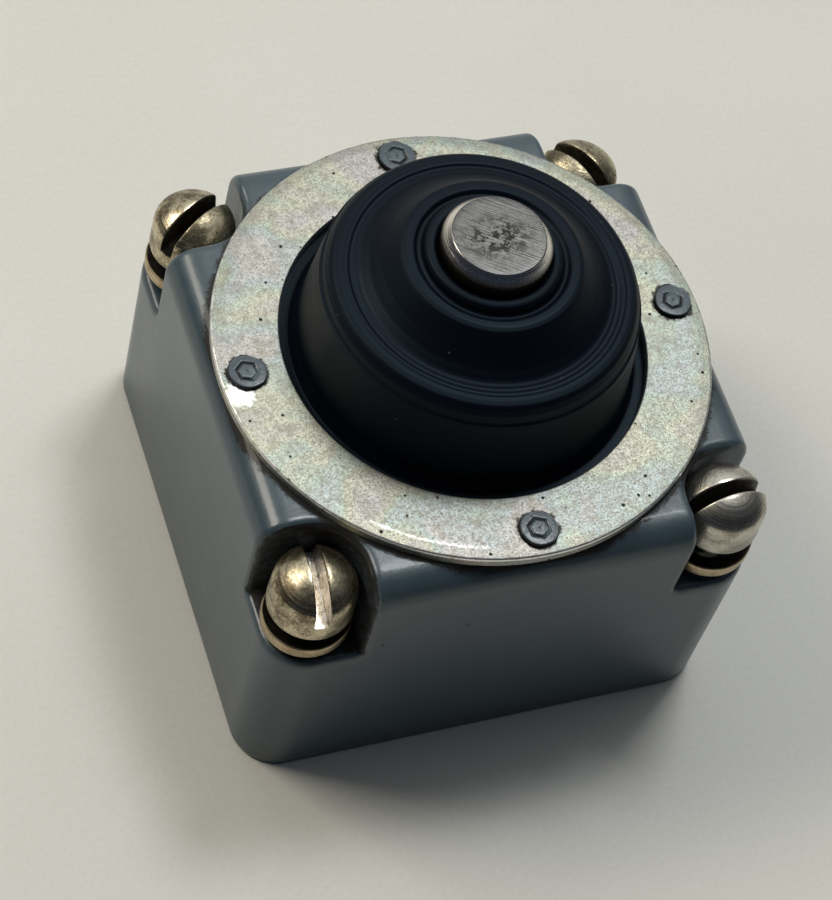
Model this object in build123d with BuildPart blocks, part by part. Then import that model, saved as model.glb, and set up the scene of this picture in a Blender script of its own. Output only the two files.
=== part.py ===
"""Booted plunger operating head of an industrial push-button / limit switch.

A square die-cast head with four captive corner screws. A steel plunger slides in a bronze
bushing, a rubber boot seals it, and a staked steel ring clamps the boot to the head.
Millimetres, +Z up. The origin is the centre of the base face.
"""

import math
import os

from build123d import *

# ---------------------------------------------------------------- driving dimensions
# head casting
BODY_SIDE = 38.1  # one and a half inches, square
BODY_TOP = 24.3
CORNER_R = 3.5
TOP_FILLET = 2.4
EDGE_FILLET = 0.35

# corner pockets and the captive screws that stand in them
SCREW_POS = 15.7  # from the head's axes to each screw's axis
POCKET_EDGE = 12.25  # pocket walls, from the head's axes
POCKET_FLOOR = 16.0
POCKET_R = 3.7
POCKET_W = 12.0  # cutter, reaching well past the outer faces
TAPPED_R = 1.75  # thread in the pocket floor that keeps the screw captive
CORED_R = 2.3
CORED_TOP = 11.0

SCREW_HEAD_R = 3.17
SCREW_HEAD_TAPER = 0.1
SCREW_SIDE_H = 2.8
SCREW_HEAD_H = 4.35
SCREW_SLOT_W = 1.04
SCREW_SLOT_DEPTH = 2.75
SCREW_LENGTH = 18.3  # under the head
SHANK_R = 1.45
THREAD_R = 2.05
THREAD_DEPTH = 0.3
THREAD_PITCH = 0.794
THREAD_TURNS = 10

WASHER_MEAN_R = 2.7
WASHER_SECTION = 1.1
WASHER_RISE = 1.3  # free rise of the split spring washer in one turn
WASHER_SWEEP = 350.0

# boot clamp ring and the stakes that hold it
RING_OUTER_R = 18.6
RING_INNER_R = 13.64
RING_T = 1.0
RING_TOP = BODY_TOP + RING_T
STAKE_CIRCLE_R = 16.6
STAKE_R = 1.27
STAKE_HOLE_R = 1.32
STAKE_HEAD_R = 1.5
STAKE_HEAD_H = 0.35
STAKE_MARK_R = 0.75
STAKE_MARK_LINE = 0.2
STAKE_MARK_DEPTH = 0.12

# boot seat in the top of the head
SEAT_R = 14.6
SEAT_Z = 22.7

# base of the head
PILOT_R = 12.5
PILOT_DEPTH = 2.0
PLATE_SEAT_R = 11.8
PLATE_R = 11.7
PLATE_T = 1.5
PLATE_TOP = PILOT_DEPTH + PLATE_T
PLATE_HOLE_R = 4.3
PLATE_SCREW_CIRCLE_R = 9.4
PLATE_SCREW_R = 1.1
PLATE_THREAD_GAP = 0.03
PLATE_SCREW_HEAD_R = 1.95
PLATE_SCREW_CONE_H = 0.95
PLATE_SCREW_TOP = 8.0
PLATE_SCREW_POINT_R = 0.7
PLATE_SCREW_POINT_H = 0.5
PLATE_SCREW_SLOT_W = 0.5
PLATE_SCREW_SLOT_DEPTH = 0.45
PLATE_SCREW_GAP = 0.1  # round the shank, round the head and past the tip
GASKET_INNER_R = 13.35
GASKET_OUTER_R = 14.85
GASKET_T = 1.25
GROOVE_GAP = 0.05

# plunger, its bushing and its seal
PLUNGER_R = 3.97  # five sixteenths of an inch across
PLUNGER_TOP = 37.8
PLUNGER_CHAMFER_R = 0.62
PLUNGER_CHAMFER_H = 0.8
PLUNGER_BOTTOM = 5.0
BOOT_GROOVE_R = 3.65
BOOT_GROOVE_Z = (34.5, 35.1)
BUSH_BORE_R = 4.02
BUSH_R = 6.0
BUSH_FLANGE_R = 8.5
BUSH_FLANGE_T = 1.5
BUSH_NECK_R = 7.0
BUSH_TOP = 27.2
GLAND_R = 5.9
GLAND_Z = 24.6
SEAL_SECTION_R = 0.86
SEAL_RING_R = 4.93
RETAINER_Z = 26.4
RETAINER_T = 0.7
RETAINER_HOLE_R = 4.3

# return spring, its seat and the clip that carries it
CHAMBER_R = 8.0
CHAMBER_TOP = 18.9
CLIP_Z = 18.05
CLIP_T = 0.7
CLIP_GROOVE_R = 3.2
CLIP_OUTER_R = 6.2
CLIP_RELIEF_R = 4.5
CLIP_TONGUE_W = 2.4
CLIP_MOUTH_W = 6.6
CLIP_MOUTH_Y = -2.0  # how far the open side reaches towards the plunger
CLIP_TONGUE_LAP = 0.6  # so that each tongue runs into the outer band
SEAT_WASHER_T = 0.9
SEAT_WASHER_R = 7.6
SEAT_WASHER_HOLE_R = 4.07
SEAT_SKIRT_R = 4.9
SEAT_SKIRT_H = 1.0
RETURN_WIRE_R = 0.55
RETURN_MEAN_R = 6.3
RETURN_TURNS = 5.5
END_GAP = 0.05

# spring-loaded pin inside the plunger's lower end
PIN_BORE_R = 2.7
PIN_BORE_TOP = 16.5
PIN_HEAD_R = 2.62
PIN_HEAD_Z = (7.05, 8.9)
PIN_STEM_R = 1.6
PIN_TIP_Z = 2.2
PIN_TIP_CHAMFER = 0.4
GUIDE_BUSH_HOLE_R = 1.67
GUIDE_BUSH_TOP = 7.0
OVER_WIRE_R = 0.25
OVER_MEAN_R = 1.95
OVER_TURNS = 8

# boot wall
BOOT_FLANGE_R = 14.5
BOOT_BORE_R = 4.0
BOOT_STEP_R = 11.58
BOOT_STEP_Z = 31.45

# corner name: (x sign, y sign, height of the head's underside, slot angle, washer split angle)
CORNERS = {
    "front_left": (-1, -1, 19.4, 84.5, -6.0),
    "front_right": (1, -1, 20.1, 4.5, 8.0),
    "back_left": (-1, 1, 19.4, 31.7, -6.0),
    "back_right": (1, 1, 18.6, -62.0, 20.0),
}

os.makedirs("parts", exist_ok=True)


def save(builder, name):
    """Labels a finished piece and writes it as its own STEP file."""
    builder.part.label = name
    export_step(builder.part, f"parts/{name}.step")


def turned(points):
    """A solid of revolution about Z from a closed outline of (radius, height) points."""
    with BuildPart() as piece:
        with BuildSketch(Plane.XZ):
            with BuildLine():
                Polyline(*points, close=True)
            make_face()
        revolve(axis=Axis.Z)
    return piece


def coil(mean_r, wire_r, bottom, top, turns):
    """A helical spring whose wire fills the height from bottom to top."""
    rise = top - bottom - 2 * wire_r
    with BuildPart() as piece:
        with BuildLine() as wire:
            Helix(pitch=rise / turns, height=rise, radius=mean_r, center=(0, 0, bottom + wire_r))
        start = wire.line @ 0
        along = wire.line % 0
        with BuildSketch(Plane(origin=start, x_dir=(1, 0, 0), z_dir=along)):
            Circle(wire_r)
        sweep(path=wire.line, is_frenet=True)
    return piece


# ---------------------------------------------------------------- head casting
def make_housing():
    """The painted zinc casting, with its four stakes already closed over the ring."""
    with BuildPart() as housing:
        with BuildSketch():
            RectangleRounded(BODY_SIDE, BODY_SIDE, CORNER_R)
        extrude(amount=BODY_TOP)
        fillet(housing.faces().sort_by(Axis.Z)[-1].edges(), TOP_FILLET)

        # four corner pockets, open to both outer faces
        pocket_mid = POCKET_EDGE + POCKET_W / 2
        with BuildSketch(Plane.XY.offset(POCKET_FLOOR)):
            with GridLocations(2 * pocket_mid, 2 * pocket_mid, 2, 2):
                RectangleRounded(POCKET_W, POCKET_W, POCKET_R)
        extrude(amount=BODY_TOP, mode=Mode.SUBTRACT)
        rims = housing.edges().filter_by_position(Axis.Z, POCKET_FLOOR - 0.01, BODY_TOP + 0.01)
        outer = [e for e in rims if is_pocket_rim(e)]
        fillet(outer, EDGE_FILLET)

        # seat for the boot's flange, and the bore for the bushing
        with BuildSketch(Plane.XY.offset(SEAT_Z)):
            Circle(SEAT_R)
        extrude(amount=BODY_TOP, mode=Mode.SUBTRACT)
        with BuildSketch():
            Circle(BUSH_R)
        extrude(amount=BODY_TOP, mode=Mode.SUBTRACT)

        # stepped underside: pilot recess, plate seat, spring chamber
        for radius, depth in ((PILOT_R, PILOT_DEPTH), (PLATE_SEAT_R, PLATE_TOP), (CHAMBER_R, CHAMBER_TOP)):
            with BuildSketch():
                Circle(radius)
            extrude(amount=depth, mode=Mode.SUBTRACT)
        with BuildSketch():
            Circle(GASKET_OUTER_R + GROOVE_GAP)
            Circle(GASKET_INNER_R - GROOVE_GAP, mode=Mode.SUBTRACT)
        extrude(amount=GASKET_T + GROOVE_GAP, mode=Mode.SUBTRACT)

        # screw passages: cored from below, tapped through the pocket floor
        with BuildSketch():
            with GridLocations(2 * SCREW_POS, 2 * SCREW_POS, 2, 2):
                Circle(TAPPED_R)
        extrude(amount=POCKET_FLOOR, mode=Mode.SUBTRACT)
        with BuildSketch():
            with GridLocations(2 * SCREW_POS, 2 * SCREW_POS, 2, 2):
                Circle(CORED_R)
        extrude(amount=CORED_TOP, mode=Mode.SUBTRACT)
        with BuildSketch(Plane.XY.offset(PLATE_TOP)):
            with PolarLocations(PLATE_SCREW_CIRCLE_R, 3, 90):
                Circle(PLATE_SCREW_R + PLATE_THREAD_GAP)
        extrude(amount=PLATE_SCREW_TOP - PLATE_TOP, mode=Mode.SUBTRACT)

        # stakes: pins through the ring, upset over it, with the tool's mark on each head
        with BuildSketch(Plane.XY.offset(SEAT_Z)):
            with PolarLocations(STAKE_CIRCLE_R, 4):
                Circle(STAKE_R)
        extrude(amount=RING_TOP - SEAT_Z)
        with BuildSketch(Plane.XY.offset(RING_TOP)):
            with PolarLocations(STAKE_CIRCLE_R, 4):
                Circle(STAKE_HEAD_R)
        extrude(amount=STAKE_HEAD_H)
        fillet(housing.faces().group_by(Axis.Z)[-1].edges(), STAKE_HEAD_H / 3)
        with BuildSketch(Plane.XY.offset(RING_TOP + STAKE_HEAD_H - STAKE_MARK_DEPTH)):
            with PolarLocations(STAKE_CIRCLE_R, 4):
                RegularPolygon(STAKE_MARK_R, 6)
                RegularPolygon(STAKE_MARK_R - STAKE_MARK_LINE, 6, mode=Mode.SUBTRACT)
        extrude(amount=STAKE_MARK_DEPTH, mode=Mode.SUBTRACT)
    return housing


def is_pocket_rim(edge):
    """True for the outward edges of the corner pockets, which the die leaves rounded."""
    centre = edge.center()
    low = edge.bounding_box().min.Z
    high = edge.bounding_box().max.Z
    lies_on_floor = high - low < 0.01 and abs(low - POCKET_FLOOR) < 0.01
    reach = max(abs(centre.X), abs(centre.Y))
    if lies_on_floor:
        return reach > POCKET_EDGE + POCKET_R + 0.5
    is_upright = high - low > 4
    inner_corner = abs(abs(centre.X) - abs(centre.Y)) < POCKET_R + 0.1 and reach < BODY_SIDE / 2 - 0.5
    if is_upright:
        return reach > BODY_SIDE / 2 - 0.1 and not inner_corner
    return low > POCKET_FLOOR + 4 and min(abs(centre.X), abs(centre.Y)) > POCKET_EDGE - 0.1


save(make_housing(), "housing")

# ---------------------------------------------------------------- boot and its clamp ring
with BuildPart() as ring:
    with BuildSketch(Plane.XY.offset(BODY_TOP)):
        Circle(RING_OUTER_R)
        Circle(RING_INNER_R, mode=Mode.SUBTRACT)
        with PolarLocations(STAKE_CIRCLE_R, 4):
            Circle(STAKE_HOLE_R, mode=Mode.SUBTRACT)
    extrude(amount=RING_T)
    fillet(ring.edges().group_by(Axis.Z)[-1].sort_by(SortBy.RADIUS)[-1], RING_T / 4)
save(ring, "boot_retaining_ring")

with BuildPart() as boot:
    with BuildSketch(Plane.XZ):
        with BuildLine():
            # outside: flange, flared wall, rounded shoulder, stepped cone, collar
            Polyline((11.2, SEAT_Z + 0.05), (BOOT_FLANGE_R, SEAT_Z + 0.05), (BOOT_FLANGE_R, BODY_TOP - 0.05))
            Line((BOOT_FLANGE_R, BODY_TOP - 0.05), (12.75, BODY_TOP - 0.05))
            Polyline((12.75, BODY_TOP - 0.05), (12.42, RING_TOP), (12.1, 28.5), (11.66, BOOT_STEP_Z))
            Line((11.66, BOOT_STEP_Z), (BOOT_STEP_R, BOOT_STEP_Z))
            ThreePointArc((BOOT_STEP_R, BOOT_STEP_Z), (11.3, 32.5), (10.6, 33.1))
            Polyline((10.6, 33.1), (10.1, 33.2), (9.85, 33.0), (9.6, 33.05), (9.4, 33.35))
            ThreePointArc((9.4, 33.35), (8.0, 34.1), (6.65, 35.3))
            Polyline((6.65, 35.3), (5.75, 35.6), (5.4, 35.4), (5.2, 35.45), (4.95, 35.95), (4.35, 36.1))
            Line((4.35, 36.1), (BOOT_BORE_R, 35.95))
            # inside: bore on the plunger, underside of the cone, inner wall
            Polyline((BOOT_BORE_R, 35.95), (BOOT_BORE_R, 33.7), (5.6, 33.6), (8.7, 31.95), (9.9, 31.5))
            ThreePointArc((9.9, 31.5), (10.3, 31.1), (10.45, 30.4))
            Polyline((10.45, 30.4), (10.85, 28.0), (11.15, 25.0), (11.2, SEAT_Z + 0.05))
        make_face()
    revolve(axis=Axis.Z)
save(boot, "boot")

# ---------------------------------------------------------------- plunger and what rides on it
plunger_flat_r = PLUNGER_R - PLUNGER_CHAMFER_R
plunger = turned(
    [
        (0, PLUNGER_TOP),
        (plunger_flat_r, PLUNGER_TOP),
        (PLUNGER_R, PLUNGER_TOP - PLUNGER_CHAMFER_H),
        (PLUNGER_R, BOOT_GROOVE_Z[1]),
        (BOOT_GROOVE_R, BOOT_GROOVE_Z[1]),
        (BOOT_GROOVE_R, BOOT_GROOVE_Z[0]),
        (PLUNGER_R, BOOT_GROOVE_Z[0]),
        (PLUNGER_R, CLIP_Z + CLIP_T + END_GAP),
        (CLIP_GROOVE_R, CLIP_Z + CLIP_T + END_GAP),
        (CLIP_GROOVE_R, CLIP_Z - END_GAP),
        (PLUNGER_R, CLIP_Z - END_GAP),
        (PLUNGER_R, PLUNGER_BOTTOM),
        (PIN_BORE_R, PLUNGER_BOTTOM),
        (PIN_BORE_R, PIN_BORE_TOP),
        (0, PIN_BORE_TOP + PIN_BORE_R / 2),
    ]
)
save(plunger, "plunger")

with BuildPart() as retaining_clip:
    with BuildSketch(Plane.XY.offset(CLIP_Z)):
        Circle(CLIP_OUTER_R)
        Circle(CLIP_RELIEF_R, mode=Mode.SUBTRACT)
        with PolarLocations((CLIP_RELIEF_R + CLIP_GROOVE_R) / 2, 3, 0, 180, endpoint=True):
            Rectangle(CLIP_RELIEF_R - CLIP_GROOVE_R + CLIP_TONGUE_LAP, CLIP_TONGUE_W)
        Circle(CLIP_GROOVE_R + END_GAP, mode=Mode.SUBTRACT)
        with Locations((0, -CLIP_OUTER_R)):
            Rectangle(CLIP_MOUTH_W, 2 * (CLIP_OUTER_R + CLIP_MOUTH_Y), mode=Mode.SUBTRACT)
    extrude(amount=CLIP_T)
save(retaining_clip, "retaining_clip")

seat_top = CLIP_Z - END_GAP
seat_under = seat_top - SEAT_WASHER_T
spring_seat = turned(
    [
        (SEAT_WASHER_HOLE_R, seat_top),
        (SEAT_WASHER_R, seat_top),
        (SEAT_WASHER_R, seat_under),
        (SEAT_SKIRT_R, seat_under),
        (SEAT_SKIRT_R, seat_under - SEAT_SKIRT_H),
        (SEAT_WASHER_HOLE_R, seat_under - SEAT_SKIRT_H),
    ]
)
save(spring_seat, "spring_seat")

save(
    coil(RETURN_MEAN_R, RETURN_WIRE_R, PLATE_TOP + END_GAP, seat_under - END_GAP, RETURN_TURNS),
    "return_spring",
)

# ---------------------------------------------------------------- pin inside the plunger
actuating_pin = turned(
    [
        (0, PIN_HEAD_Z[1]),
        (PIN_HEAD_R, PIN_HEAD_Z[1]),
        (PIN_HEAD_R, PIN_HEAD_Z[0]),
        (PIN_STEM_R, PIN_HEAD_Z[0]),
        (PIN_STEM_R, PIN_TIP_Z + PIN_TIP_CHAMFER),
        (PIN_STEM_R - PIN_TIP_CHAMFER, PIN_TIP_Z),
        (0, PIN_TIP_Z),
    ]
)
save(actuating_pin, "actuating_pin")

pin_guide_bush = turned(
    [
        (GUIDE_BUSH_HOLE_R, PLUNGER_BOTTOM),
        (PIN_BORE_R, PLUNGER_BOTTOM),
        (PIN_BORE_R, GUIDE_BUSH_TOP),
        (GUIDE_BUSH_HOLE_R, GUIDE_BUSH_TOP),
    ]
)
save(pin_guide_bush, "pin_guide_bush")

save(
    coil(OVER_MEAN_R, OVER_WIRE_R, PIN_HEAD_Z[1] + END_GAP, PIN_BORE_TOP - END_GAP, OVER_TURNS),
    "overtravel_spring",
)

# ---------------------------------------------------------------- bushing, seal and retainer
plunger_bushing = turned(
    [
        (BUSH_BORE_R, CHAMBER_TOP),
        (BUSH_R, CHAMBER_TOP),
        (BUSH_R, SEAT_Z),
        (BUSH_FLANGE_R, SEAT_Z),
        (BUSH_FLANGE_R, SEAT_Z + BUSH_FLANGE_T),
        (BUSH_NECK_R, SEAT_Z + BUSH_FLANGE_T),
        (BUSH_NECK_R, BUSH_TOP),
        (GLAND_R, BUSH_TOP),
        (GLAND_R, GLAND_Z),
        (BUSH_BORE_R, GLAND_Z),
    ]
)
save(plunger_bushing, "plunger_bushing")

with BuildPart() as plunger_seal:
    with BuildSketch(Plane.XZ):
        with Locations((SEAL_RING_R, GLAND_Z + SEAL_SECTION_R + END_GAP)):
            Circle(SEAL_SECTION_R)
    revolve(axis=Axis.Z)
save(plunger_seal, "plunger_seal")

with BuildPart() as seal_retainer:
    with BuildSketch(Plane.XY.offset(RETAINER_Z)):
        Circle(GLAND_R)
        Circle(RETAINER_HOLE_R, mode=Mode.SUBTRACT)
    extrude(amount=RETAINER_T)
save(seal_retainer, "seal_retainer")

# ---------------------------------------------------------------- base plate, its screws, gasket
with BuildPart() as spring_plate:
    with BuildSketch(Plane.XY.offset(PILOT_DEPTH)):
        Circle(PLATE_R)
        Circle(PLATE_HOLE_R, mode=Mode.SUBTRACT)
    extrude(amount=PLATE_T)
    plate_faces = Plane(origin=(0, 0, PILOT_DEPTH), x_dir=(1, 0, 0), z_dir=(0, 0, -1))
    with Locations(plate_faces):
        with PolarLocations(PLATE_SCREW_CIRCLE_R, 3, -90):
            sink_r = PLATE_SCREW_HEAD_R + PLATE_SCREW_GAP
            CounterSinkHole(PLATE_SCREW_R + PLATE_SCREW_GAP, sink_r, depth=PLATE_T)
save(spring_plate, "spring_plate")

plate_screw_tip = PLATE_SCREW_TOP - PLATE_SCREW_GAP
with BuildPart() as plate_screws:
    for location in PolarLocations(PLATE_SCREW_CIRCLE_R, 3, 90):
        axis_point = location.position
        section = Plane(origin=(axis_point.X, axis_point.Y, 0), x_dir=(1, 0, 0), z_dir=(0, -1, 0))
        with BuildSketch(section):
            with BuildLine():
                Polyline(
                    (0, PILOT_DEPTH),
                    (PLATE_SCREW_HEAD_R, PILOT_DEPTH),
                    (PLATE_SCREW_R, PILOT_DEPTH + PLATE_SCREW_CONE_H),
                    (PLATE_SCREW_R, plate_screw_tip - PLATE_SCREW_POINT_H),
                    (PLATE_SCREW_POINT_R, plate_screw_tip),
                    (0, plate_screw_tip),
                    close=True,
                )
            make_face()
        revolve(axis=Axis((axis_point.X, axis_point.Y, 0), (0, 0, 1)))
        with BuildSketch(Plane.XY.offset(PILOT_DEPTH)):
            with Locations((axis_point.X, axis_point.Y)):
                Rectangle(3 * PLATE_SCREW_HEAD_R, PLATE_SCREW_SLOT_W)
        extrude(amount=PLATE_SCREW_SLOT_DEPTH, mode=Mode.SUBTRACT)
save(plate_screws, "plate_screws")

with BuildPart() as base_gasket:
    with BuildSketch():
        Circle(GASKET_OUTER_R)
        Circle(GASKET_INNER_R, mode=Mode.SUBTRACT)
    extrude(amount=GASKET_T)
save(base_gasket, "base_gasket")


# ---------------------------------------------------------------- captive screws, lock washers
def screw_outline(under_head):
    """Half section of a slotted, domed, captive screw, with its thread as plain rings."""
    shoulder_r = SCREW_HEAD_R - SCREW_HEAD_TAPER
    tip = under_head - SCREW_LENGTH
    thread_top = tip + THREAD_TURNS * THREAD_PITCH
    points = [(SHANK_R, thread_top), (SHANK_R, under_head), (SCREW_HEAD_R, under_head)]
    points.append((shoulder_r, under_head + SCREW_SIDE_H))
    thread = []
    for turn in range(THREAD_TURNS):
        foot = tip + turn * THREAD_PITCH
        thread.append((THREAD_R - THREAD_DEPTH, foot))
        thread.append((THREAD_R, foot + THREAD_PITCH / 2))
    thread.append((THREAD_R - THREAD_DEPTH, thread_top))
    return points, thread, tip


def make_screw(x, y, under_head, slot_angle):
    """One captive screw on its own axis, head up."""
    outline, thread, tip = screw_outline(under_head)
    apex = under_head + SCREW_HEAD_H
    shoulder = outline[-1]
    dome_h = apex - shoulder[1]
    dome_r = (shoulder[0] ** 2 + dome_h**2) / (2 * dome_h)
    half = math.asin(shoulder[0] / dome_r) / 2
    middle = (dome_r * math.sin(half), apex - dome_r * (1 - math.cos(half)))
    with BuildPart() as screw:
        with BuildSketch(Plane(origin=(x, y, 0), x_dir=(1, 0, 0), z_dir=(0, -1, 0))):
            with BuildLine():
                Polyline((0, tip), *thread, *outline)
                ThreePointArc(shoulder, middle, (0, apex))
                Line((0, apex), (0, tip))
            make_face()
        revolve(axis=Axis((x, y, 0), (0, 0, 1)))
        slot_plane = Plane(origin=(x, y, apex - SCREW_SLOT_DEPTH), z_dir=(0, 0, 1))
        with BuildSketch(slot_plane.rotated((0, 0, slot_angle))):
            Rectangle(4 * SCREW_HEAD_R, SCREW_SLOT_W)
        extrude(amount=SCREW_HEAD_H, mode=Mode.SUBTRACT)
    return screw


def make_lock_washer(x, y, split_angle):
    """A split spring washer in its free, helical shape, lying on the pocket floor."""
    rise = WASHER_RISE * WASHER_SWEEP / 360
    with BuildPart() as washer:
        middle_z = POCKET_FLOOR + WASHER_SECTION / 2 + END_GAP
        with BuildLine(Plane(origin=(x, y, middle_z), z_dir=(0, 0, 1)).rotated((0, 0, split_angle))) as path:
            Helix(pitch=WASHER_RISE, height=rise, radius=WASHER_MEAN_R)
        start = path.line @ 0
        along = path.line % 0
        outwards = Vector(start.X - x, start.Y - y, 0)
        with BuildSketch(Plane(origin=start, x_dir=outwards, z_dir=along)):
            Rectangle(WASHER_SECTION, WASHER_SECTION)
        sweep(path=path.line, is_frenet=True)
    return washer


for corner, (side_x, side_y, under_head, slot_angle, split_angle) in CORNERS.items():
    corner_x = side_x * SCREW_POS
    corner_y = side_y * SCREW_POS
    save(make_screw(corner_x, corner_y, under_head, slot_angle), f"captive_screw_{corner}")
    save(make_lock_washer(corner_x, corner_y, split_angle), f"lock_washer_{corner}")
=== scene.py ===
# %% [markdown]
# # A booted plunger head for an industrial switch
# The real object is a square die casting with a sprung steel plunger standing in it. A rubber boot
# seals the plunger, a plated steel ring clamps the boot, and four captive screws stand in corner
# pockets. The CAD model already holds every size, so this script only builds finer surfaces in the
# same places and gives each one a finish. Lengths are worked out in millimetres, the maker's unit,
# and are scaled to metres where a mesh is made.

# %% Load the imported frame
import math

import bmesh
import bpy
import numpy as np
from mathutils import Matrix, Vector


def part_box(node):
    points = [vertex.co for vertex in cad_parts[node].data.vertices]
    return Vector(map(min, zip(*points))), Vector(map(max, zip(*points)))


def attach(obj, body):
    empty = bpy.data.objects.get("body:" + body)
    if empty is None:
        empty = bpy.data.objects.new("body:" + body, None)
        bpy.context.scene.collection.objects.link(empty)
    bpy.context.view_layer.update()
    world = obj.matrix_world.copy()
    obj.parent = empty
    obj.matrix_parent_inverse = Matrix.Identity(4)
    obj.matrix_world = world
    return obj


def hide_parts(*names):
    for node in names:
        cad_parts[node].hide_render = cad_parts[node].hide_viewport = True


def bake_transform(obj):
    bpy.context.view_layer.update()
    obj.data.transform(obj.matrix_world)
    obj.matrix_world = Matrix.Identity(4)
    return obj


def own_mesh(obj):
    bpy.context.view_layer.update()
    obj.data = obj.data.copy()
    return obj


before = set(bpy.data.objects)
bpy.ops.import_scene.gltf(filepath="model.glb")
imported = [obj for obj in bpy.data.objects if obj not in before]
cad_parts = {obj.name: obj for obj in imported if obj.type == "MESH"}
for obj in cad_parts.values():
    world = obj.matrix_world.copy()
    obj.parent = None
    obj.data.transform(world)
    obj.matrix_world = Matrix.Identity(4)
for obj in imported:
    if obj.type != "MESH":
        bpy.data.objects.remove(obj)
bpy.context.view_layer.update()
MM = 0.001


def box_mm(node):
    """Lowest and highest corner of a CAD node in millimetres."""
    low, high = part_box(node)
    return np.array(low) / MM, np.array(high) / MM


# %% [markdown]
# ## The camera
# The lens is a real one, so that perspective reads as it would on a bench: the camera stands about
# 24 cm away and looks down on the front left corner, and the near corner looks larger than the far.
# The three directions of the camera are written as the columns of its rotation.

# %% Camera
CAMERA_PLACE = (-0.06808, -0.10079, 0.19015)
CAMERA_RIGHT = Vector((0.93584, -0.30328, 0.17953))
CAMERA_UP = Vector((0.16831, 0.83214, 0.52841))
CAMERA_LENS = 112.53  # millimetres
SENSOR_SIDE = 36.0  # millimetres, along the frame's longer side

camera = bpy.data.objects.new("camera", bpy.data.cameras.new("camera"))
camera.data.lens = CAMERA_LENS
camera.data.sensor_width = SENSOR_SIDE
camera.data.clip_start = 0.01
turn = Matrix((CAMERA_RIGHT, CAMERA_UP, CAMERA_RIGHT.cross(CAMERA_UP))).transposed()
camera.matrix_world = Matrix.Translation(CAMERA_PLACE) @ turn.to_4x4()
bpy.context.scene.collection.objects.link(camera)
bpy.context.scene.camera = camera
print("camera at", [round(x, 3) for x in camera.location])

# %% [markdown]
# ## Floor and light
# The table is a sheet of pale card. The room is bright high up behind the object and dim on the side
# where one stands to look at it, so the world fades from warm white to a dim blue: flat plating then
# mirrors something pale, a wide soft shadow lies in front, and the front of the casting falls into
# shade. A window-like lamp at the left gives the highlights and lights the left side. A smaller one,
# high up behind at the right, leaves the short dark shadow along the foot of the front.


# %% Floor, lamps and world
def add_lamp(name, place, target, size, watts, colour):
    """A square area lamp at place that faces target; both in millimetres."""
    data = bpy.data.lights.new(name, "AREA")
    data.shape = "RECTANGLE"
    data.size, data.size_y = (side * MM for side in size)
    data.energy = watts
    data.color = colour
    lamp = bpy.data.objects.new(name, data)
    lamp.location = Vector(place) * MM
    aim = Vector(target) * MM - lamp.location
    lamp.rotation_euler = aim.to_track_quat("-Z", "Y").to_euler()
    bpy.context.scene.collection.objects.link(lamp)
    print("lamp:", name, watts, "W")


add_lamp("window", (-330, 250, 440), (0, 0, 15), (230, 200), 1.5, (1.0, 0.93, 0.80))
add_lamp("ceiling", (180, 175, 600), (0, 0, 15), (140, 140), 1.25, (0.96, 0.99, 1.0))

BRIGHT_SIDE = Vector((0.22, 0.62, 0.75)).normalized()
world = bpy.data.worlds.new("room")
world.use_nodes = True
sky = world.node_tree
direction = sky.nodes.new("ShaderNodeTexCoord").outputs["Generated"]
facing = sky.nodes.new("ShaderNodeVectorMath")
facing.operation = "DOT_PRODUCT"
facing.inputs[1].default_value = BRIGHT_SIDE
sky.links.new(direction, facing.inputs[0])
fade = sky.nodes.new("ShaderNodeValToRGB")
fade.color_ramp.interpolation = "EASE"
dim, bright = fade.color_ramp.elements
dim.position, dim.color = 0.42, (0.014, 0.019, 0.032, 1)
bright.position, bright.color = 1.0, (0.74, 0.77, 0.77, 1)
sky.links.new(facing.outputs["Value"], fade.inputs[0])
sky.links.new(fade.outputs[0], sky.nodes["Background"].inputs["Color"])
sky.nodes["Background"].inputs["Strength"].default_value = 1.0
bpy.context.scene.world = world
bpy.context.scene.view_settings.view_transform = "Standard"

# %% [markdown]
# ## Small tools for node trees
# Every finish below is a node tree. Writing each node, its settings and its links on one line keeps
# the trees readable: `add` makes a node and `calc` does one sum. Object coordinates are in metres,
# so they are multiplied by 1000 first, and every pattern's scale then reads as "per millimetre".


# %% Node helpers
def add(tree, kind, inputs=None, **settings):
    """Adds one node. inputs maps a socket's name or number to a value or to another node's output."""
    made = tree.nodes.new(kind)
    for name, value in settings.items():
        setattr(made, name, value)
    for key, value in (inputs or {}).items():
        if isinstance(value, bpy.types.NodeSocket):
            tree.links.new(value, made.inputs[key])
        else:
            made.inputs[key].default_value = value
    return made


def calc(tree, operation, a, b=0.0, c=0.0, clamp=False):
    """One sum on values."""
    return add(tree, "ShaderNodeMath", {0: a, 1: b, 2: c}, operation=operation, use_clamp=clamp).outputs[0]


def mix_colour(tree, factor, a, b, blend="MIX"):
    """Colour a where factor is 0, colour b where it is 1."""
    made = add(tree, "ShaderNodeMix", {}, data_type="RGBA", blend_type=blend)
    for socket, value in ((made.inputs[0], factor), (made.inputs[6], a), (made.inputs[7], b)):
        if isinstance(value, bpy.types.NodeSocket):
            tree.links.new(value, socket)
        else:
            socket.default_value = value
    return made.outputs[2]


def spread(tree, value, low, high, to_low=0.0, to_high=1.0):
    """Maps low..high to to_low..to_high, held at both ends."""
    return add(
        tree,
        "ShaderNodeMapRange",
        {"Value": value, "From Min": low, "From Max": high, "To Min": to_low, "To Max": to_high},
        clamp=True,
    ).outputs[0]


def noise(tree, place, scale, detail, roughness=0.5):
    """A noise texture's value, from 0 to 1."""
    settings = {"Vector": place, "Scale": scale, "Detail": detail, "Roughness": roughness}
    return add(tree, "ShaderNodeTexNoise", settings).outputs[0]


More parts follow.
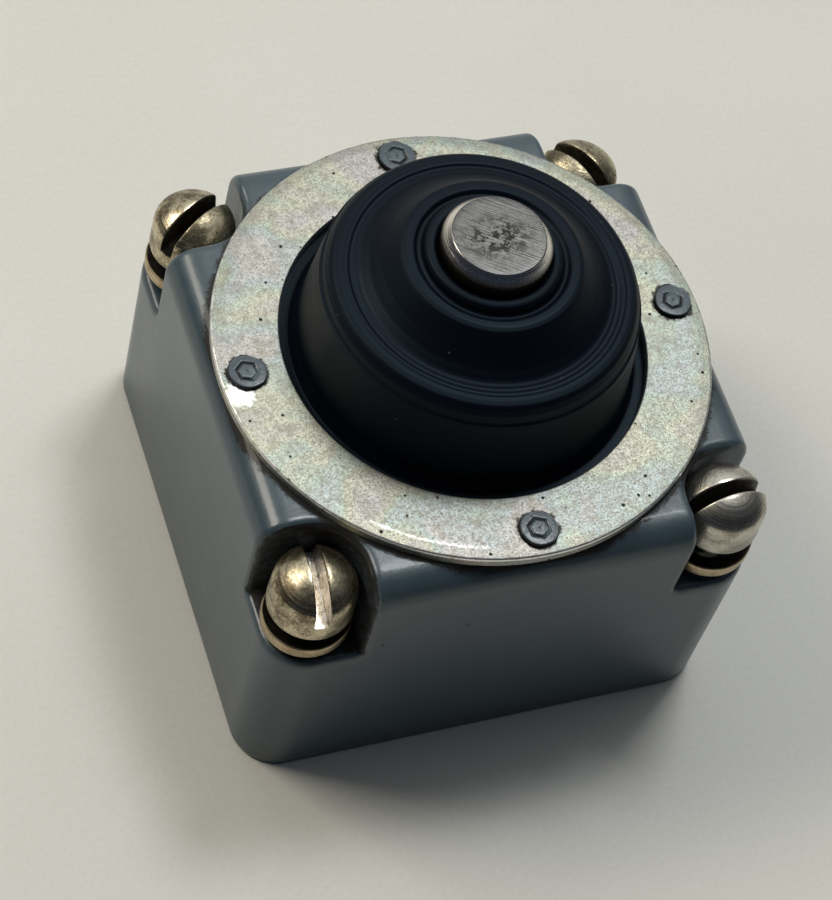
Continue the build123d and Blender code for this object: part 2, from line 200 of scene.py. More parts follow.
def millimetres(tree):
    """The piece's own coordinates in millimetres."""
    place = add(tree, "ShaderNodeTexCoord").outputs["Object"]
    return add(tree, "ShaderNodeVectorMath", {0: place, "Scale": 1000.0}, operation="SCALE").outputs[0]


def new_group(name, inputs, outputs):
    """An empty shader node group with named sockets; returns its tree, its input node and its output node."""
    tree = bpy.data.node_groups.new(name, "ShaderNodeTree")
    for title, kind, value in inputs:
        socket = tree.interface.new_socket(title, in_out="INPUT", socket_type=kind)
        socket.default_value = value
    for title, kind in outputs:
        tree.interface.new_socket(title, in_out="OUTPUT", socket_type=kind)
    return tree, tree.nodes.new("NodeGroupInput"), tree.nodes.new("NodeGroupOutput")


def use(tree, group, **inputs):
    """Places a node group in a material. Input names are written with underscores for spaces."""
    made = tree.nodes.new("ShaderNodeGroup")
    made.node_tree = group
    for name, value in inputs.items():
        socket = made.inputs[name.replace("_", " ")]
        if isinstance(value, bpy.types.NodeSocket):
            tree.links.new(value, socket)
        else:
            socket.default_value = value
    return made


# %% [markdown]
# ## Effects that several finishes share
# * **Grain** is a two-scale noise, for casting skin, plating and rubber.
# * **Specks** are rare small dots, for dirt, pits and dust. A Voronoi cell keeps only the points
#   whose random number is low.
# * **Lathe lines** follow a turned piece round its axis. They read the attribute `turned`, which
#   holds a point's radius and height, so they work on a screw that stands off the origin too.
# * **Worn edge** breaks up the attribute `edge` with noise, because wear is never even.

# %% Shared node groups
FLOAT, VECTOR = "NodeSocketFloat", "NodeSocketVector"

grain, inside, outside = new_group(
    "Grain",
    [("Place", VECTOR, (0, 0, 0)), ("Coarse", FLOAT, 1.0), ("Fine", FLOAT, 8.0), ("Fine Share", FLOAT, 0.5)],
    [("Value", FLOAT)],
)
coarse = noise(grain, inside.outputs["Place"], inside.outputs["Coarse"], 3.0)
fine = noise(grain, inside.outputs["Place"], inside.outputs["Fine"], 2.0)
both = add(
    grain,
    "ShaderNodeMix",
    {0: inside.outputs["Fine Share"], 2: coarse, 3: fine},
    data_type="FLOAT",
)
grain.links.new(both.outputs[0], outside.inputs["Value"])

specks, inside, outside = new_group(
    "Specks",
    [("Place", VECTOR, (0, 0, 0)), ("Scale", FLOAT, 1.0), ("Share", FLOAT, 0.1), ("Size", FLOAT, 0.15)],
    [("Mask", FLOAT)],
)
ragged = add(specks, "ShaderNodeTexNoise", {"Vector": inside.outputs["Place"], "Scale": 5.0, "Detail": 2.0})
shifted = add(
    specks,
    "ShaderNodeVectorMath",
    {0: ragged.outputs["Color"], 1: (0.12, 0.12, 0.12), 2: inside.outputs["Place"]},
    operation="MULTIPLY_ADD",
).outputs[0]
cells = add(specks, "ShaderNodeTexVoronoi", {"Vector": shifted, "Scale": inside.outputs["Scale"]})
cell_number = add(specks, "ShaderNodeSeparateColor", {0: cells.outputs["Color"]}).outputs[0]
chosen = calc(specks, "LESS_THAN", cell_number, inside.outputs["Share"])
near = calc(specks, "DIVIDE", cells.outputs["Distance"], inside.outputs["Size"])
dot = spread(specks, near, 0.7, 1.0, 1.0, 0.0)
specks.links.new(calc(specks, "MULTIPLY", chosen, dot), outside.inputs["Mask"])

lathe_lines, inside, outside = new_group(
    "Lathe lines",
    [("Radius Lines", FLOAT, 6.0), ("Height Lines", FLOAT, 6.0), ("Turned", VECTOR, (0, 0, 0))],
    [("Value", FLOAT)],
)
parts = add(lathe_lines, "ShaderNodeSeparateXYZ", {0: inside.outputs["Turned"]})
across = calc(lathe_lines, "MULTIPLY", parts.outputs[0], inside.outputs["Radius Lines"])
up = calc(lathe_lines, "MULTIPLY", parts.outputs[1], inside.outputs["Height Lines"])
line_place = add(lathe_lines, "ShaderNodeCombineXYZ", {0: across, 1: up, 2: parts.outputs[2]}).outputs[0]
lines = noise(lathe_lines, line_place, 1.0, 3.0, 0.6)
lathe_lines.links.new(lines, outside.inputs["Value"])

worn_edge, inside, outside = new_group(
    "Worn edge",
    [("Place", VECTOR, (0, 0, 0)), ("Edge", FLOAT, 0.0), ("Scale", FLOAT, 1.0), ("Amount", FLOAT, 0.5)],
    [("Mask", FLOAT)],
)
breakup = noise(worn_edge, inside.outputs["Place"], inside.outputs["Scale"], 4.0)
raised = calc(worn_edge, "MULTIPLY", inside.outputs["Edge"], calc(worn_edge, "MULTIPLY", breakup, 2.0))
over = calc(worn_edge, "SUBTRACT", raised, calc(worn_edge, "SUBTRACT", 1.0, inside.outputs["Amount"]))
worn_edge.links.new(calc(worn_edge, "MULTIPLY", over, 2.5, clamp=True), outside.inputs["Mask"])
print("groups:", [g.name for g in bpy.data.node_groups])


# %% [markdown]
# ## Starting a finish
# A finish is a Principled shader fed by patterns. Values that are the same all over, such as a
# rubber's sheen or a paint's clear coat, are typed straight into the shader, and only colour,
# roughness, metal and the normal are driven by nodes.


# %% Material starter
def new_material(name, **plain):
    """A material with one Principled shader; plain holds the shader's constant sockets."""
    print("finish:", name)
    material = bpy.data.materials.new(name)
    material.use_nodes = True
    shader = material.node_tree.nodes["Principled BSDF"]
    for title, value in plain.items():
        shader.inputs[title.replace("_", " ")].default_value = value
    return material, material.node_tree, shader


def connect(tree, shader, colour=None, roughness=None, height=None, depth=0.02, metal=None):
    """Feeds the shader. height is a 0 to 1 pattern that stands depth millimetres tall."""
    for socket, value in (("Base Color", colour), ("Roughness", roughness), ("Metallic", metal)):
        if value is not None:
            tree.links.new(value, shader.inputs[socket])
    if height is not None:
        bump = add(tree, "ShaderNodeBump", {"Height": height, "Distance": depth * MM, "Strength": 1.0})
        tree.links.new(bump.outputs[0], shader.inputs["Normal"])


def attribute(tree, name, output="Fac"):
    """A mesh attribute as a value, or as a vector."""
    return add(tree, "ShaderNodeAttribute", attribute_name=name).outputs[output]


# %% [markdown]
# ## The casting's paint
# The casting is sprayed slate grey, semi-gloss, over a zinc skin that is not quite flat. Three
# things make it look used: the colour drifts slowly, the paint is thin and pale along edges, and
# dark dirt has settled where the ring meets the top. The pockets are darkened as well, dirt and
# painted shade together, with painted shade along the corners where wall meets floor and most of
# all in the front left pocket, which faces away from the light. A painted image would need
# unwrapping, so noises and two attributes, one for worn edges and one for dirt and painted shade,
# place all of this instead.

# %% Paint
SLATE_DARK, SLATE_PALE = (0.042, 0.067, 0.085, 1), (0.053, 0.081, 0.100, 1)
THIN_PAINT = (0.13, 0.17, 0.19, 1)
BLACK_DIRT_AND_SHADE = (0.012, 0.012, 0.012, 1)
gloss = {"Coat_Weight": 0.2, "Coat_Roughness": 0.12, "Specular_IOR_Level": 0.5}
paint, tree, shader = new_material("housing_paint", **gloss)
place = millimetres(tree)
drift = use(tree, grain, Place=place, Coarse=0.12, Fine=0.6, Fine_Share=0.3).outputs[0]
skin = use(tree, grain, Place=place, Coarse=1.6, Fine=7.0, Fine_Share=0.35).outputs[0]
paint_colour = mix_colour(tree, spread(tree, drift, 0.35, 0.65), SLATE_DARK, SLATE_PALE)
edge = use(tree, worn_edge, Place=place, Edge=attribute(tree, "edge"), Scale=1.3, Amount=0.45).outputs[0]
paint_colour = mix_colour(tree, calc(tree, "MULTIPLY", edge, 0.45), paint_colour, THIN_PAINT)
# Black from the dirt attribute: real dirt by the ring and in specks, painted shade in the pockets and round
# the stakes.
dirt_and_shade_noise = use(tree, grain, Place=place, Coarse=1.4, Fine=6.0, Fine_Share=0.5).outputs[0]
dirt_and_shade_amount = calc(tree, "ADD", attribute(tree, "dirt_and_shade"), calc(tree, "SUBTRACT", dirt_and_shade_noise, 0.5))
dirt_and_shade = spread(tree, dirt_and_shade_amount, 0.55, 0.75)
specked = use(tree, specks, Place=place, Scale=0.45, Share=0.16, Size=0.09).outputs[0]
dirt_and_shade = calc(tree, "MAXIMUM", dirt_and_shade, calc(tree, "MULTIPLY", specked, 0.8))
paint_colour = mix_colour(tree, dirt_and_shade, paint_colour, BLACK_DIRT_AND_SHADE)
paint_rough = calc(tree, "ADD", spread(tree, drift, 0.3, 0.7, 0.30, 0.40), calc(tree, "MULTIPLY", dirt_and_shade, 0.35))
connect(tree, shader, paint_colour, paint_rough, skin, 0.028)

# %% [markdown]
# ## The ring's plating
# Zinc plating with a clear passivate shows faint rainbow patches over a sandy grain of fine dark
# pits. The rainbow is only a slow colour change, so five pale colours are laid on a noise. Round each
# stake lies a dark ring, grime and painted shade together. The rolled edges are rubbed bright, and
# beside the left stake the plating is scraped to bare metal. An arc past the front left screw is
# painted bright as well, partly a scrape and partly a painted highlight where the margin bends down.

# %% Ring plating
SAND_TINT, STAIN_TINT = (0.17, 0.155, 0.13, 1), (0.24, 0.22, 0.18, 1)
PIT_AND_SHADE_TINT, BARE_ZINC_AND_HIGHLIGHT = (0.02, 0.02, 0.018, 1), (0.86, 0.86, 0.84, 1)
STAKE_AT = 16.6  # from the plunger's axis to each stake's
SHADE_AND_GRIME_FROM, SHADE_AND_GRIME_TO = 1.5, 1.68  # painted shade and grime round a stake end between these radii
plating, tree, shader = new_material("ring_zinc", Metallic=1.0)
place = millimetres(tree)
patches = add(tree, "ShaderNodeTexNoise", {"Vector": place, "Scale": 0.16, "Detail": 2.0, "Distortion": 0.6})
ramp = add(tree, "ShaderNodeValToRGB", {0: patches.outputs[0]})
tints = ((0.34, (0.42, 0.405, 0.385)), (0.44, (0.47, 0.46, 0.36)), (0.52, (0.39, 0.44, 0.37)))
tints += ((0.60, (0.38, 0.42, 0.41)), (0.68, (0.44, 0.42, 0.39)))
while len(ramp.color_ramp.elements) < len(tints):
    ramp.color_ramp.elements.new(0.5)
for element, (position, tint) in zip(ramp.color_ramp.elements, tints):
    element.position = position
    element.color = (*tint, 1)
sand = noise(tree, place, 6.5, 5.0, 0.75)
sandy = spread(tree, sand, 0.36, 0.56, 0.85, 0.0)
ring_colour = mix_colour(tree, sandy, ramp.outputs[0], SAND_TINT)
stain = noise(tree, place, 1.1, 7.0, 0.78)
ring_colour = mix_colour(tree, spread(tree, stain, 0.38, 0.52, 0.7, 0.0), ring_colour, STAIN_TINT)
pits_and_shade = use(tree, specks, Place=place, Scale=0.9, Share=0.5, Size=0.14).outputs[0]
along = add(tree, "ShaderNodeSeparateXYZ", {"Vector": place})
from_stake = 9.0  # anything further than this counts as far away
for across, onward in ((0, 1), (1, 0)):
    past = calc(tree, "SUBTRACT", calc(tree, "ABSOLUTE", along.outputs[across]), STAKE_AT)
    onward_squared = calc(tree, "POWER", along.outputs[onward], 2.0)
    squares = calc(tree, "ADD", calc(tree, "POWER", past, 2.0), onward_squared)
    from_stake = calc(tree, "MINIMUM", calc(tree, "SQRT", squares), from_stake)
# A dark ring round each stake: grime and painted shade together, where the upset head shades the plating.
shade_and_grime_edge = calc(tree, "ADD", from_stake, calc(tree, "MULTIPLY", calc(tree, "SUBTRACT", stain, 0.5), 1.6))
pits_and_shade = calc(tree, "MAXIMUM", pits_and_shade, spread(tree, shade_and_grime_edge, SHADE_AND_GRIME_FROM, SHADE_AND_GRIME_TO, 0.92, 0.0))
ring_colour = mix_colour(tree, pits_and_shade, ring_colour, PIT_AND_SHADE_TINT)
edge = use(tree, worn_edge, Place=place, Edge=attribute(tree, "edge"), Scale=2.0, Amount=0.6).outputs[0]
# The scrape attribute holds the bare patch and a painted highlight arc, so this bright metal is partly
# painted highlight.
scrape_and_highlight = use(tree, worn_edge, Place=place, Edge=attribute(tree, "scrape_and_highlight"), Scale=3.2, Amount=0.75).outputs[0]
bright = calc(tree, "MAXIMUM", edge, scrape_and_highlight)
ring_colour = mix_colour(tree, bright, ring_colour, BARE_ZINC_AND_HIGHLIGHT)
ring_rough = spread(tree, sand, 0.3, 0.7, 0.52, 0.38)
ring_rough = calc(tree, "SUBTRACT", ring_rough, calc(tree, "MULTIPLY", bright, 0.14))
connect(tree, shader, ring_colour, ring_rough, sand, 0.02)

# %% [markdown]
# ## Rubber
# Moulded rubber is nearly black, with a soft shine. Fine rings left by the turned mould run round
# it, and a few pale grains of dust sit on it.


# %% Rubber
BLUE_SHEEN, DUST_TINT = (0.55, 0.80, 1.0, 1), (0.12, 0.13, 0.14, 1)


def make_rubber(name, base, ring_depth):
    """Satin rubber with mould rings and dust."""
    material, tree, shader = new_material(name, Specular_IOR_Level=0.19, Specular_Tint=BLUE_SHEEN)
    place = millimetres(tree)
    cloud = use(tree, grain, Place=place, Coarse=0.5, Fine=9.0, Fine_Share=0.5).outputs[0]
    turned = attribute(tree, "turned", "Vector")
    rings = use(tree, lathe_lines, Turned=turned, Radius_Lines=5.0, Height_Lines=5.0).outputs[0]
    darker = tuple(0.55 * x for x in base)
    colour = mix_colour(tree, cloud, (*darker, 1), (*base, 1))
    dust = use(tree, specks, Place=place, Scale=0.8, Share=0.14, Size=0.07).outputs[0]
    colour = mix_colour(tree, calc(tree, "MULTIPLY", dust, 0.5), colour, DUST_TINT)
    roughness = spread(tree, rings, 0.3, 0.7, 0.43, 0.57)
    roughness = calc(tree, "ADD", roughness, calc(tree, "MULTIPLY", dust, 0.3))
    height = calc(tree, "ADD", calc(tree, "MULTIPLY", rings, 0.8), calc(tree, "MULTIPLY", cloud, 0.2))
    connect(tree, shader, colour, roughness, height, ring_depth)
    return material


boot_rubber = make_rubber("boot_rubber", (0.0012, 0.0024, 0.0070), 0.009)
seal_rubber = make_rubber("seal_rubber", (0.010, 0.010, 0.011), 0.01)
gasket_rubber = make_rubber("gasket_rubber", (0.016, 0.015, 0.014), 0.012)

# %% [markdown]
# ## Turned and plated metals
# Screws, washers, bushing, springs and plate differ only in colour, in how dull they are, and in
# how deep the tool's rings go. One function makes them all: the lathe lines give the height, and a
# slow noise stains the colour from bright to tarnished. Three attributes mark where a piece has lost
# its tint, is rubbed bright, or is darkened with dirt and painted shade. A piece that lacks one
# reads it as zero.

# %% Metals
SPOT_TINT, LOST_TINT = (0.03, 0.026, 0.02, 1), (0.58, 0.57, 0.54, 1)
RUBBED_TINT, GRIME_AND_SHADE_TINT = (0.90, 0.84, 0.78, 1), (0.012, 0.011, 0.009, 1)


def make_metal(
    name, bright, dull, roughness, line_depth, radius_lines=7.0, height_lines=7.0, stain=0.5, spots=0.1
):
    """Metal with lathe lines, a slow stain between two colours, and small dark spots."""
    material, tree, shader = new_material(name, Metallic=1.0)
    place = millimetres(tree)
    lines = use(
        tree,
        lathe_lines,
        Turned=attribute(tree, "turned", "Vector"),
        Radius_Lines=radius_lines,
        Height_Lines=height_lines,
    ).outputs[0]
    cloud = use(tree, grain, Place=place, Coarse=0.7, Fine=5.0, Fine_Share=0.35).outputs[0]
    tarnish = calc(tree, "MULTIPLY", spread(tree, cloud, 0.40, 0.58), stain)
    colour = mix_colour(tree, tarnish, (*bright, 1), (*dull, 1))
    colour = mix_colour(tree, spread(tree, lines, 0.3, 0.7, 0.28, 0.0), colour, (*dull, 1))
    dark = use(tree, specks, Place=place, Scale=1.1, Share=spots, Size=0.16).outputs[0]
    colour = mix_colour(tree, calc(tree, "MULTIPLY", dark, 0.85), colour, SPOT_TINT)
    bare = calc(tree, "MULTIPLY", attribute(tree, "bare"), spread(tree, cloud, 0.35, 0.62, 1.0, 0.45))
    colour = mix_colour(tree, bare, colour, LOST_TINT)
    scratch = use(tree, grain, Place=place, Coarse=2.2, Fine=9.0, Fine_Share=0.5).outputs[0]
    rubbed = calc(tree, "MULTIPLY", attribute(tree, "rubbed"), spread(tree, scratch, 0.38, 0.52))
    colour = mix_colour(tree, rubbed, colour, RUBBED_TINT)
    # Dirt and painted shade: washers darkened under the heads and by the floor, and the slots of three
    # screws.
    grime_and_shade = calc(tree, "MULTIPLY", attribute(tree, "dirt_and_shade"), spread(tree, scratch, 0.25, 0.5, 0.94, 1.0))
    colour = mix_colour(tree, grime_and_shade, colour, GRIME_AND_SHADE_TINT)
    rough = spread(tree, lines, 0.3, 0.7, roughness - 0.06, roughness + 0.08)
    rough = calc(tree, "ADD", rough, calc(tree, "MULTIPLY", tarnish, 0.12))
    rough = calc(tree, "ADD", rough, calc(tree, "MULTIPLY", grime_and_shade, 0.3))
    height = calc(tree, "ADD", calc(tree, "MULTIPLY", lines, 0.75), calc(tree, "MULTIPLY", cloud, 0.25))
    connect(tree, shader, colour, rough, height, line_depth)
    return material


brass, tarnished = (0.74, 0.65, 0.45), (0.12, 0.092, 0.055)
screw_zinc = make_metal("screw_zinc", brass, tarnished, 0.27, 0.020, stain=0.88, spots=0.2)
washer_zinc = make_metal("washer_zinc", (0.58, 0.47, 0.30), (0.22, 0.16, 0.09), 0.28, 0.010, stain=0.6)
bushing_bronze = make_metal("bushing_bronze", (0.66, 0.45, 0.24), (0.36, 0.22, 0.11), 0.34, 0.015)
spring_steel = make_metal("spring_steel", (0.52, 0.53, 0.55), (0.24, 0.23, 0.22), 0.28, 0.006, 0.6, 0.6)
clip_steel = make_metal("clip_steel", (0.42, 0.42, 0.44), (0.16, 0.15, 0.15), 0.36, 0.008, 1.5, 1.5)
greys = (0.70, 0.69, 0.64), (0.40, 0.38, 0.33)
plate_zinc = make_metal("plate_zinc", *greys, 0.42, 0.012, 1.2, 1.2, 0.6, 0.25)
guide_brass = make_metal("guide_brass", (0.78, 0.60, 0.30), (0.42, 0.30, 0.13), 0.30, 0.010)

# %% [markdown]
# ## The plunger's steel
# The plunger's end was surface ground: straight parallel lines, with dark pits in the middle where
# it is struck in use. Its side is turned and a little brown.

# %% Plunger steel
STEEL_DARK, STEEL_PALE = (0.05, 0.05, 0.048, 1), (0.14, 0.137, 0.132, 1)
BROWN_SIDE, UNTINTED = (0.62, 0.52, 0.42, 1), (1.0, 1.0, 1.0, 1)
STRUCK_TINT, POLISHED_AND_HIGHLIGHT = (0.035, 0.03, 0.028, 1), (0.92, 0.88, 0.82, 1)
GRIND_ANGLE = 0.62  # radians, the direction of the grinding lines seen from above
plunger_steel, tree, shader = new_material("plunger_steel", Metallic=1.0)
place = millimetres(tree)
turned_place = add(tree, "ShaderNodeVectorRotate", {"Vector": place, "Angle": GRIND_ANGLE}).outputs[0]
long_lines = add(tree, "ShaderNodeMapping", {"Vector": turned_place, "Scale": (0.35, 9.0, 0.35)}).outputs[0]
grind = noise(tree, long_lines, 1.0, 4.0, 0.65)
turned = attribute(tree, "turned", "Vector")
round_lines = use(tree, lathe_lines, Turned=turned, Radius_Lines=8.0, Height_Lines=9.0).outputs[0]
on_face = attribute(tree, "face")
pattern = add(tree, "ShaderNodeMix", {0: on_face, 2: round_lines, 3: grind}, data_type="FLOAT").outputs[0]
steel = mix_colour(tree, spread(tree, pattern, 0.32, 0.68), STEEL_DARK, STEEL_PALE)
side_tint = mix_colour(tree, on_face, BROWN_SIDE, UNTINTED)
steel = mix_colour(tree, 1.0, steel, side_tint, "MULTIPLY")
blotch = noise(tree, place, 2.1, 5.0, 0.7)
struck = calc(tree, "MULTIPLY", spread(tree, blotch, 0.50, 0.57), attribute(tree, "struck"))
steel = mix_colour(tree, calc(tree, "MULTIPLY", struck, 0.85), steel, STRUCK_TINT)
# The chamfer is painted near white all round: polished steel and a painted highlight together.
polish_and_highlight = calc(tree, "MULTIPLY", attribute(tree, "chamfer"), 0.9)
steel = mix_colour(tree, polish_and_highlight, steel, POLISHED_AND_HIGHLIGHT)
steel_rough = spread(tree, pattern, 0.3, 0.7, 0.26, 0.38)
steel_rough = calc(tree, "ADD", steel_rough, calc(tree, "MULTIPLY", struck, 0.3))
steel_height = calc(tree, "SUBTRACT", pattern, calc(tree, "MULTIPLY", struck, 0.5))
steel_rough = calc(tree, "SUBTRACT", steel_rough, calc(tree, "MULTIPLY", polish_and_highlight, 0.14))
connect(tree, shader, steel, steel_rough, steel_height, 0.02)

# %% [markdown]
# ## The floor
# Card has a faint fibre and a warm white colour.

# %% Floor
card, tree, shader = new_material("card", Specular_IOR_Level=0.3)
place = millimetres(tree)
fibre = use(tree, grain, Place=place, Coarse=0.02, Fine=2.5, Fine_Share=0.4).outputs[0]
creams = (0.71, 0.692, 0.63, 1), (0.78, 0.765, 0.71, 1)
card_colour = mix_colour(tree, spread(tree, fibre, 0.35, 0.65), *creams)
connect(tree, shader, card_colour, spread(tree, fibre, 0.3, 0.7, 0.55, 0.7), fibre, 0.02)

FLOOR_HALF = 2.0  # metres
floor_mesh = bpy.data.meshes.new("floor")
floor_corners = [(x * FLOOR_HALF, y * FLOOR_HALF, 0) for x, y in ((-1, -1), (1, -1), (1, 1), (-1, 1))]
floor_mesh.from_pydata(floor_corners, [], [(0, 1, 2, 3)])
floor_mesh.materials.append(card)
floor = bpy.data.objects.new("floor", floor_mesh)
bpy.context.scene.collection.objects.link(floor)

# %% [markdown]
# ## Small tools for surfaces
# A surface is a grid of points: rows along one parameter, columns along the other. `grid_faces`
# joins neighbours into quads and `make_piece` turns the result into a mesh, closes seams and poles
# by merging points that coincide, and turns the faces outwards.


# %% Surface helpers
def grid_faces(rows, columns, close_rows=False, close_columns=True):
    """Quads between neighbours of a grid; a closed direction joins its last line to its first."""
    row = np.arange(rows if close_rows else rows - 1)
    column = np.arange(columns if close_columns else columns - 1)
    r, c = (x.ravel() for x in np.meshgrid(row, column, indexing="ij"))
    r_next, c_next = (r + 1) % rows, (c + 1) % columns
    here, ahead = r * columns, r_next * columns
    return np.stack([here + c, here + c_next, ahead + c_next, ahead + c], axis=1)


def make_piece(name, points, faces, material, sharp_degrees=40.0):
    """A mesh object from points in millimetres: welded, facing outwards, smooth between sharp edges."""
    mesh = bpy.data.meshes.new(name)
    mesh.from_pydata((np.asarray(points).reshape(-1, 3) * MM).tolist(), [], [list(face) for face in faces])
    work = bmesh.new()
    work.from_mesh(mesh)
    bmesh.ops.remove_doubles(work, verts=work.verts, dist=2e-7)
    loose = [vertex for vertex in work.verts if not vertex.link_faces]
    bmesh.ops.delete(work, geom=loose, context="VERTS")
    bmesh.ops.recalc_face_normals(work, faces=work.faces)
    work.to_mesh(mesh)
    work.free()
    mesh.shade_smooth()
    mesh.set_sharp_from_angle(angle=math.radians(sharp_degrees))
    mesh.materials.append(material)
    piece = bpy.data.objects.new(name, mesh)
    bpy.context.scene.collection.objects.link(piece)
    return piece


def places_of(piece):
    """A piece's vertices as an array in millimetres."""
    found = np.empty(len(piece.data.vertices) * 3, np.float32)
    piece.data.vertices.foreach_get("co", found)
    return found.reshape(-1, 3).astype(float) / MM


def write_values(piece, name, values):
    """Stores one number for each vertex, or three, as a mesh attribute that a material can read."""
    values = np.asarray(values, np.float32)
    kind, field = ("FLOAT_VECTOR", "vector") if values.ndim == 2 else ("FLOAT", "value")
    layer = piece.data.attributes.new(name, kind, "POINT")
    layer.data.foreach_set(field, values.ravel())


def mark_turned(piece, axis=(0.0, 0.0)):
    """Writes `turned`, a point's radius from the axis, its height, and a slow wave round the axis."""
    place = places_of(piece)
    x, y = place[:, 0] - axis[0], place[:, 1] - axis[1]
    round_it = 0.6 * np.sin(np.arctan2(y, x))
    write_values(piece, "turned", np.stack([np.hypot(x, y), place[:, 2], round_it], axis=1))


def finish_piece(piece, body, slot, *nodes):
    """Ties a finished piece to its CAD body and hides the CAD nodes that it stands for; slot is not used."""
    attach(piece, body)
    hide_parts(*nodes)
    print(f"{piece.name}: {len(piece.data.polygons)} faces, rides on {body}")


# %% [markdown]
# Most of the pieces are turned, so they start as an outline of radius and height. Real corners are
# never sharp: `softened` replaces each corner by an arc that touches both sides, and `evenly`
# divides what is left so that a later bend or wave has points to move.


# %% Outlines
def softened(corners, radius, steps=4):
    """A closed outline with every corner made a short arc that touches both of its sides."""
    corners = np.asarray(corners, float)
    count = len(corners)
    radii = np.broadcast_to(np.asarray(radius, float), (count,))
    done = []
    for i in range(count):
        here = corners[i]
        back = corners[i - 1] - here
        ahead = corners[(i + 1) % count] - here
        back_length, ahead_length = np.linalg.norm(back), np.linalg.norm(ahead)
        back, ahead = back / back_length, ahead / ahead_length
        half = math.acos(np.clip(back @ ahead, -1, 1)) / 2
        reach = min(radii[i] / math.tan(half), 0.48 * back_length, 0.48 * ahead_length)
        if half >= 1.56:
            reach = 0.0
        if reach < 1e-6:
            done.append(here)
            continue
        t = np.linspace(0, 1, steps + 1)[:, None]
        start, end = here + back * reach, here + ahead * reach
        done.extend((1 - t) ** 2 * start + 2 * t * (1 - t) * here + t**2 * end)
    return np.array(done)


def evenly(outline, longest):
    """The same closed outline with no side longer than the given length."""
    following = np.roll(outline, -1, axis=0)
    pieces = []
    for start, end in zip(outline, following):
        parts = max(1, math.ceil(np.linalg.norm(end - start) / longest))
        pieces.append(start + (end - start) * np.linspace(0, 1, parts, endpoint=False)[:, None])
    return np.concatenate(pieces)


def spin(outline, columns, axis=(0.0, 0.0)):
    """An outline of (radius, height) turned round a vertical axis: x = r cos a, y = r sin a, z = h."""
    angle = np.linspace(0, 2 * math.pi, columns, endpoint=False)
    radius, height = outline[:, 0][:, None], outline[:, 1][:, None]
    x = axis[0] + radius * np.cos(angle)
    y = axis[1] + radius * np.sin(angle)
    points = np.stack([x, y, np.broadcast_to(height, x.shape)], axis=-1)
    return points, grid_faces(len(outline), columns, close_rows=True)


# %% [markdown]
# ## Rounded solids from distance formulas
# The casting and the slotted screws have edges that no turned outline can round. For these, a rough
# grid is laid over the sharp shape and then snapped on to a rounded one. The rounded shape is a
# distance formula: how far a point lies outside it. Where two such distances cross, `round_max`
# rounds the edge between them, and `snap` slides every point along the slope to distance zero.


# %% Distance tools
def round_max(a, b, radius):
    """The larger of two distances, with the edge where they cross rounded to a radius."""
    rounded = np.hypot(np.maximum(a + radius, 0), np.maximum(b + radius, 0))
    return np.minimum(np.maximum(a, b), -radius) + rounded


def snap(points, distance, steps=10):
    """Slides points to where distance is zero: each step takes off distance x slope / slope squared."""
    nudge = 1e-3
    least_square = 0.2  # holds a step back where the slope fades
    for _ in range(steps):
        gap = distance(points)
        slope = np.stack(
            [
                (distance(points + nudge * axis) - distance(points - nudge * axis)) / (2 * nudge)
                for axis in np.eye(3)
            ],
            axis=-1,
        )
        points = points - slope * (gap / np.maximum((slope**2).sum(axis=-1), least_square))[..., None]
    return points


# %% [markdown]
# ## The casting
# The top is a square with its corners cut away by four pockets, and below the pocket floors the
# square is whole. Seen from the middle, every point of the outline is met just once, so angle and
# travel from the boot's seat outwards and down cover the whole skin. The underside and the bores
# are turned, so their rings of points close the same grid, and seven holes are then cut.

# %% Casting sizes
_, housing_high = box_mm("housing")
ring_low, ring_high = box_mm("boot_retaining_ring")
screw_low, screw_high = box_mm("captive_screw_front_left")

HALF = housing_high[0]
TOP = ring_low[2]
CORNER_R = 3.5
TOP_R = 2.4
BASE_R = 0.35
SCREW_AT = -(screw_low[0] + screw_high[0]) / 2
POCKET_EDGE = 12.25
POCKET_R = 3.7
POCKET_FLOOR = 16.0
FLOOR_R = 0.5  # where a pocket's wall meets its floor
RIM_R = 0.6  # along the pocket's outer edges, thick with paint
SEAT_R = 14.6  # the recess that the boot's flange and the bushing stand in
SEAT_Z = 22.7
RING_OUT = ring_high[0]
print(f"half width {HALF:.2f}, top {TOP:.2f}, screw axes at {SCREW_AT:.2f}")


def square_distance(x, y):
    """Distance outside the rounded square, in plan."""
    qx, qy = np.abs(x) - (HALF - CORNER_R), np.abs(y) - (HALF - CORNER_R)
    return np.hypot(np.maximum(qx, 0), np.maximum(qy, 0)) + np.minimum(np.maximum(qx, qy), 0) - CORNER_R


def pocket_distance(x, y):
    """Distance outside the nearest corner pocket, in plan."""
    return round_max(POCKET_EDGE - np.abs(x), POCKET_EDGE - np.abs(y), POCKET_R)


def casting_distance(points, rim=RIM_R):
    """Distance outside the casting's skin: a block with a soft top edge, less the corner pockets."""
    x, y, z = points[..., 0], points[..., 1], points[..., 2]
    block = round_max(round_max(square_distance(x, y), z - TOP, TOP_R), -z, BASE_R)
    pocket = round_max(pocket_distance(x, y), POCKET_FLOOR - z, FLOOR_R)
    return round_max(block, -pocket, rim)


# %% Casting skin
def reach_of(angle, plan_distance):
    """How far out a plan outline lies at each angle, found by halving an interval."""
    near, far = np.full(angle.shape, SEAT_R), np.full(angle.shape, 2 * HALF)
    for _ in range(40):
        middle = (near + far) / 2
        outside_it = plan_distance(middle * np.cos(angle), middle * np.sin(angle)) > 0
        far = np.where(outside_it, middle, far)
        near = np.where(outside_it, near, middle)
    return near


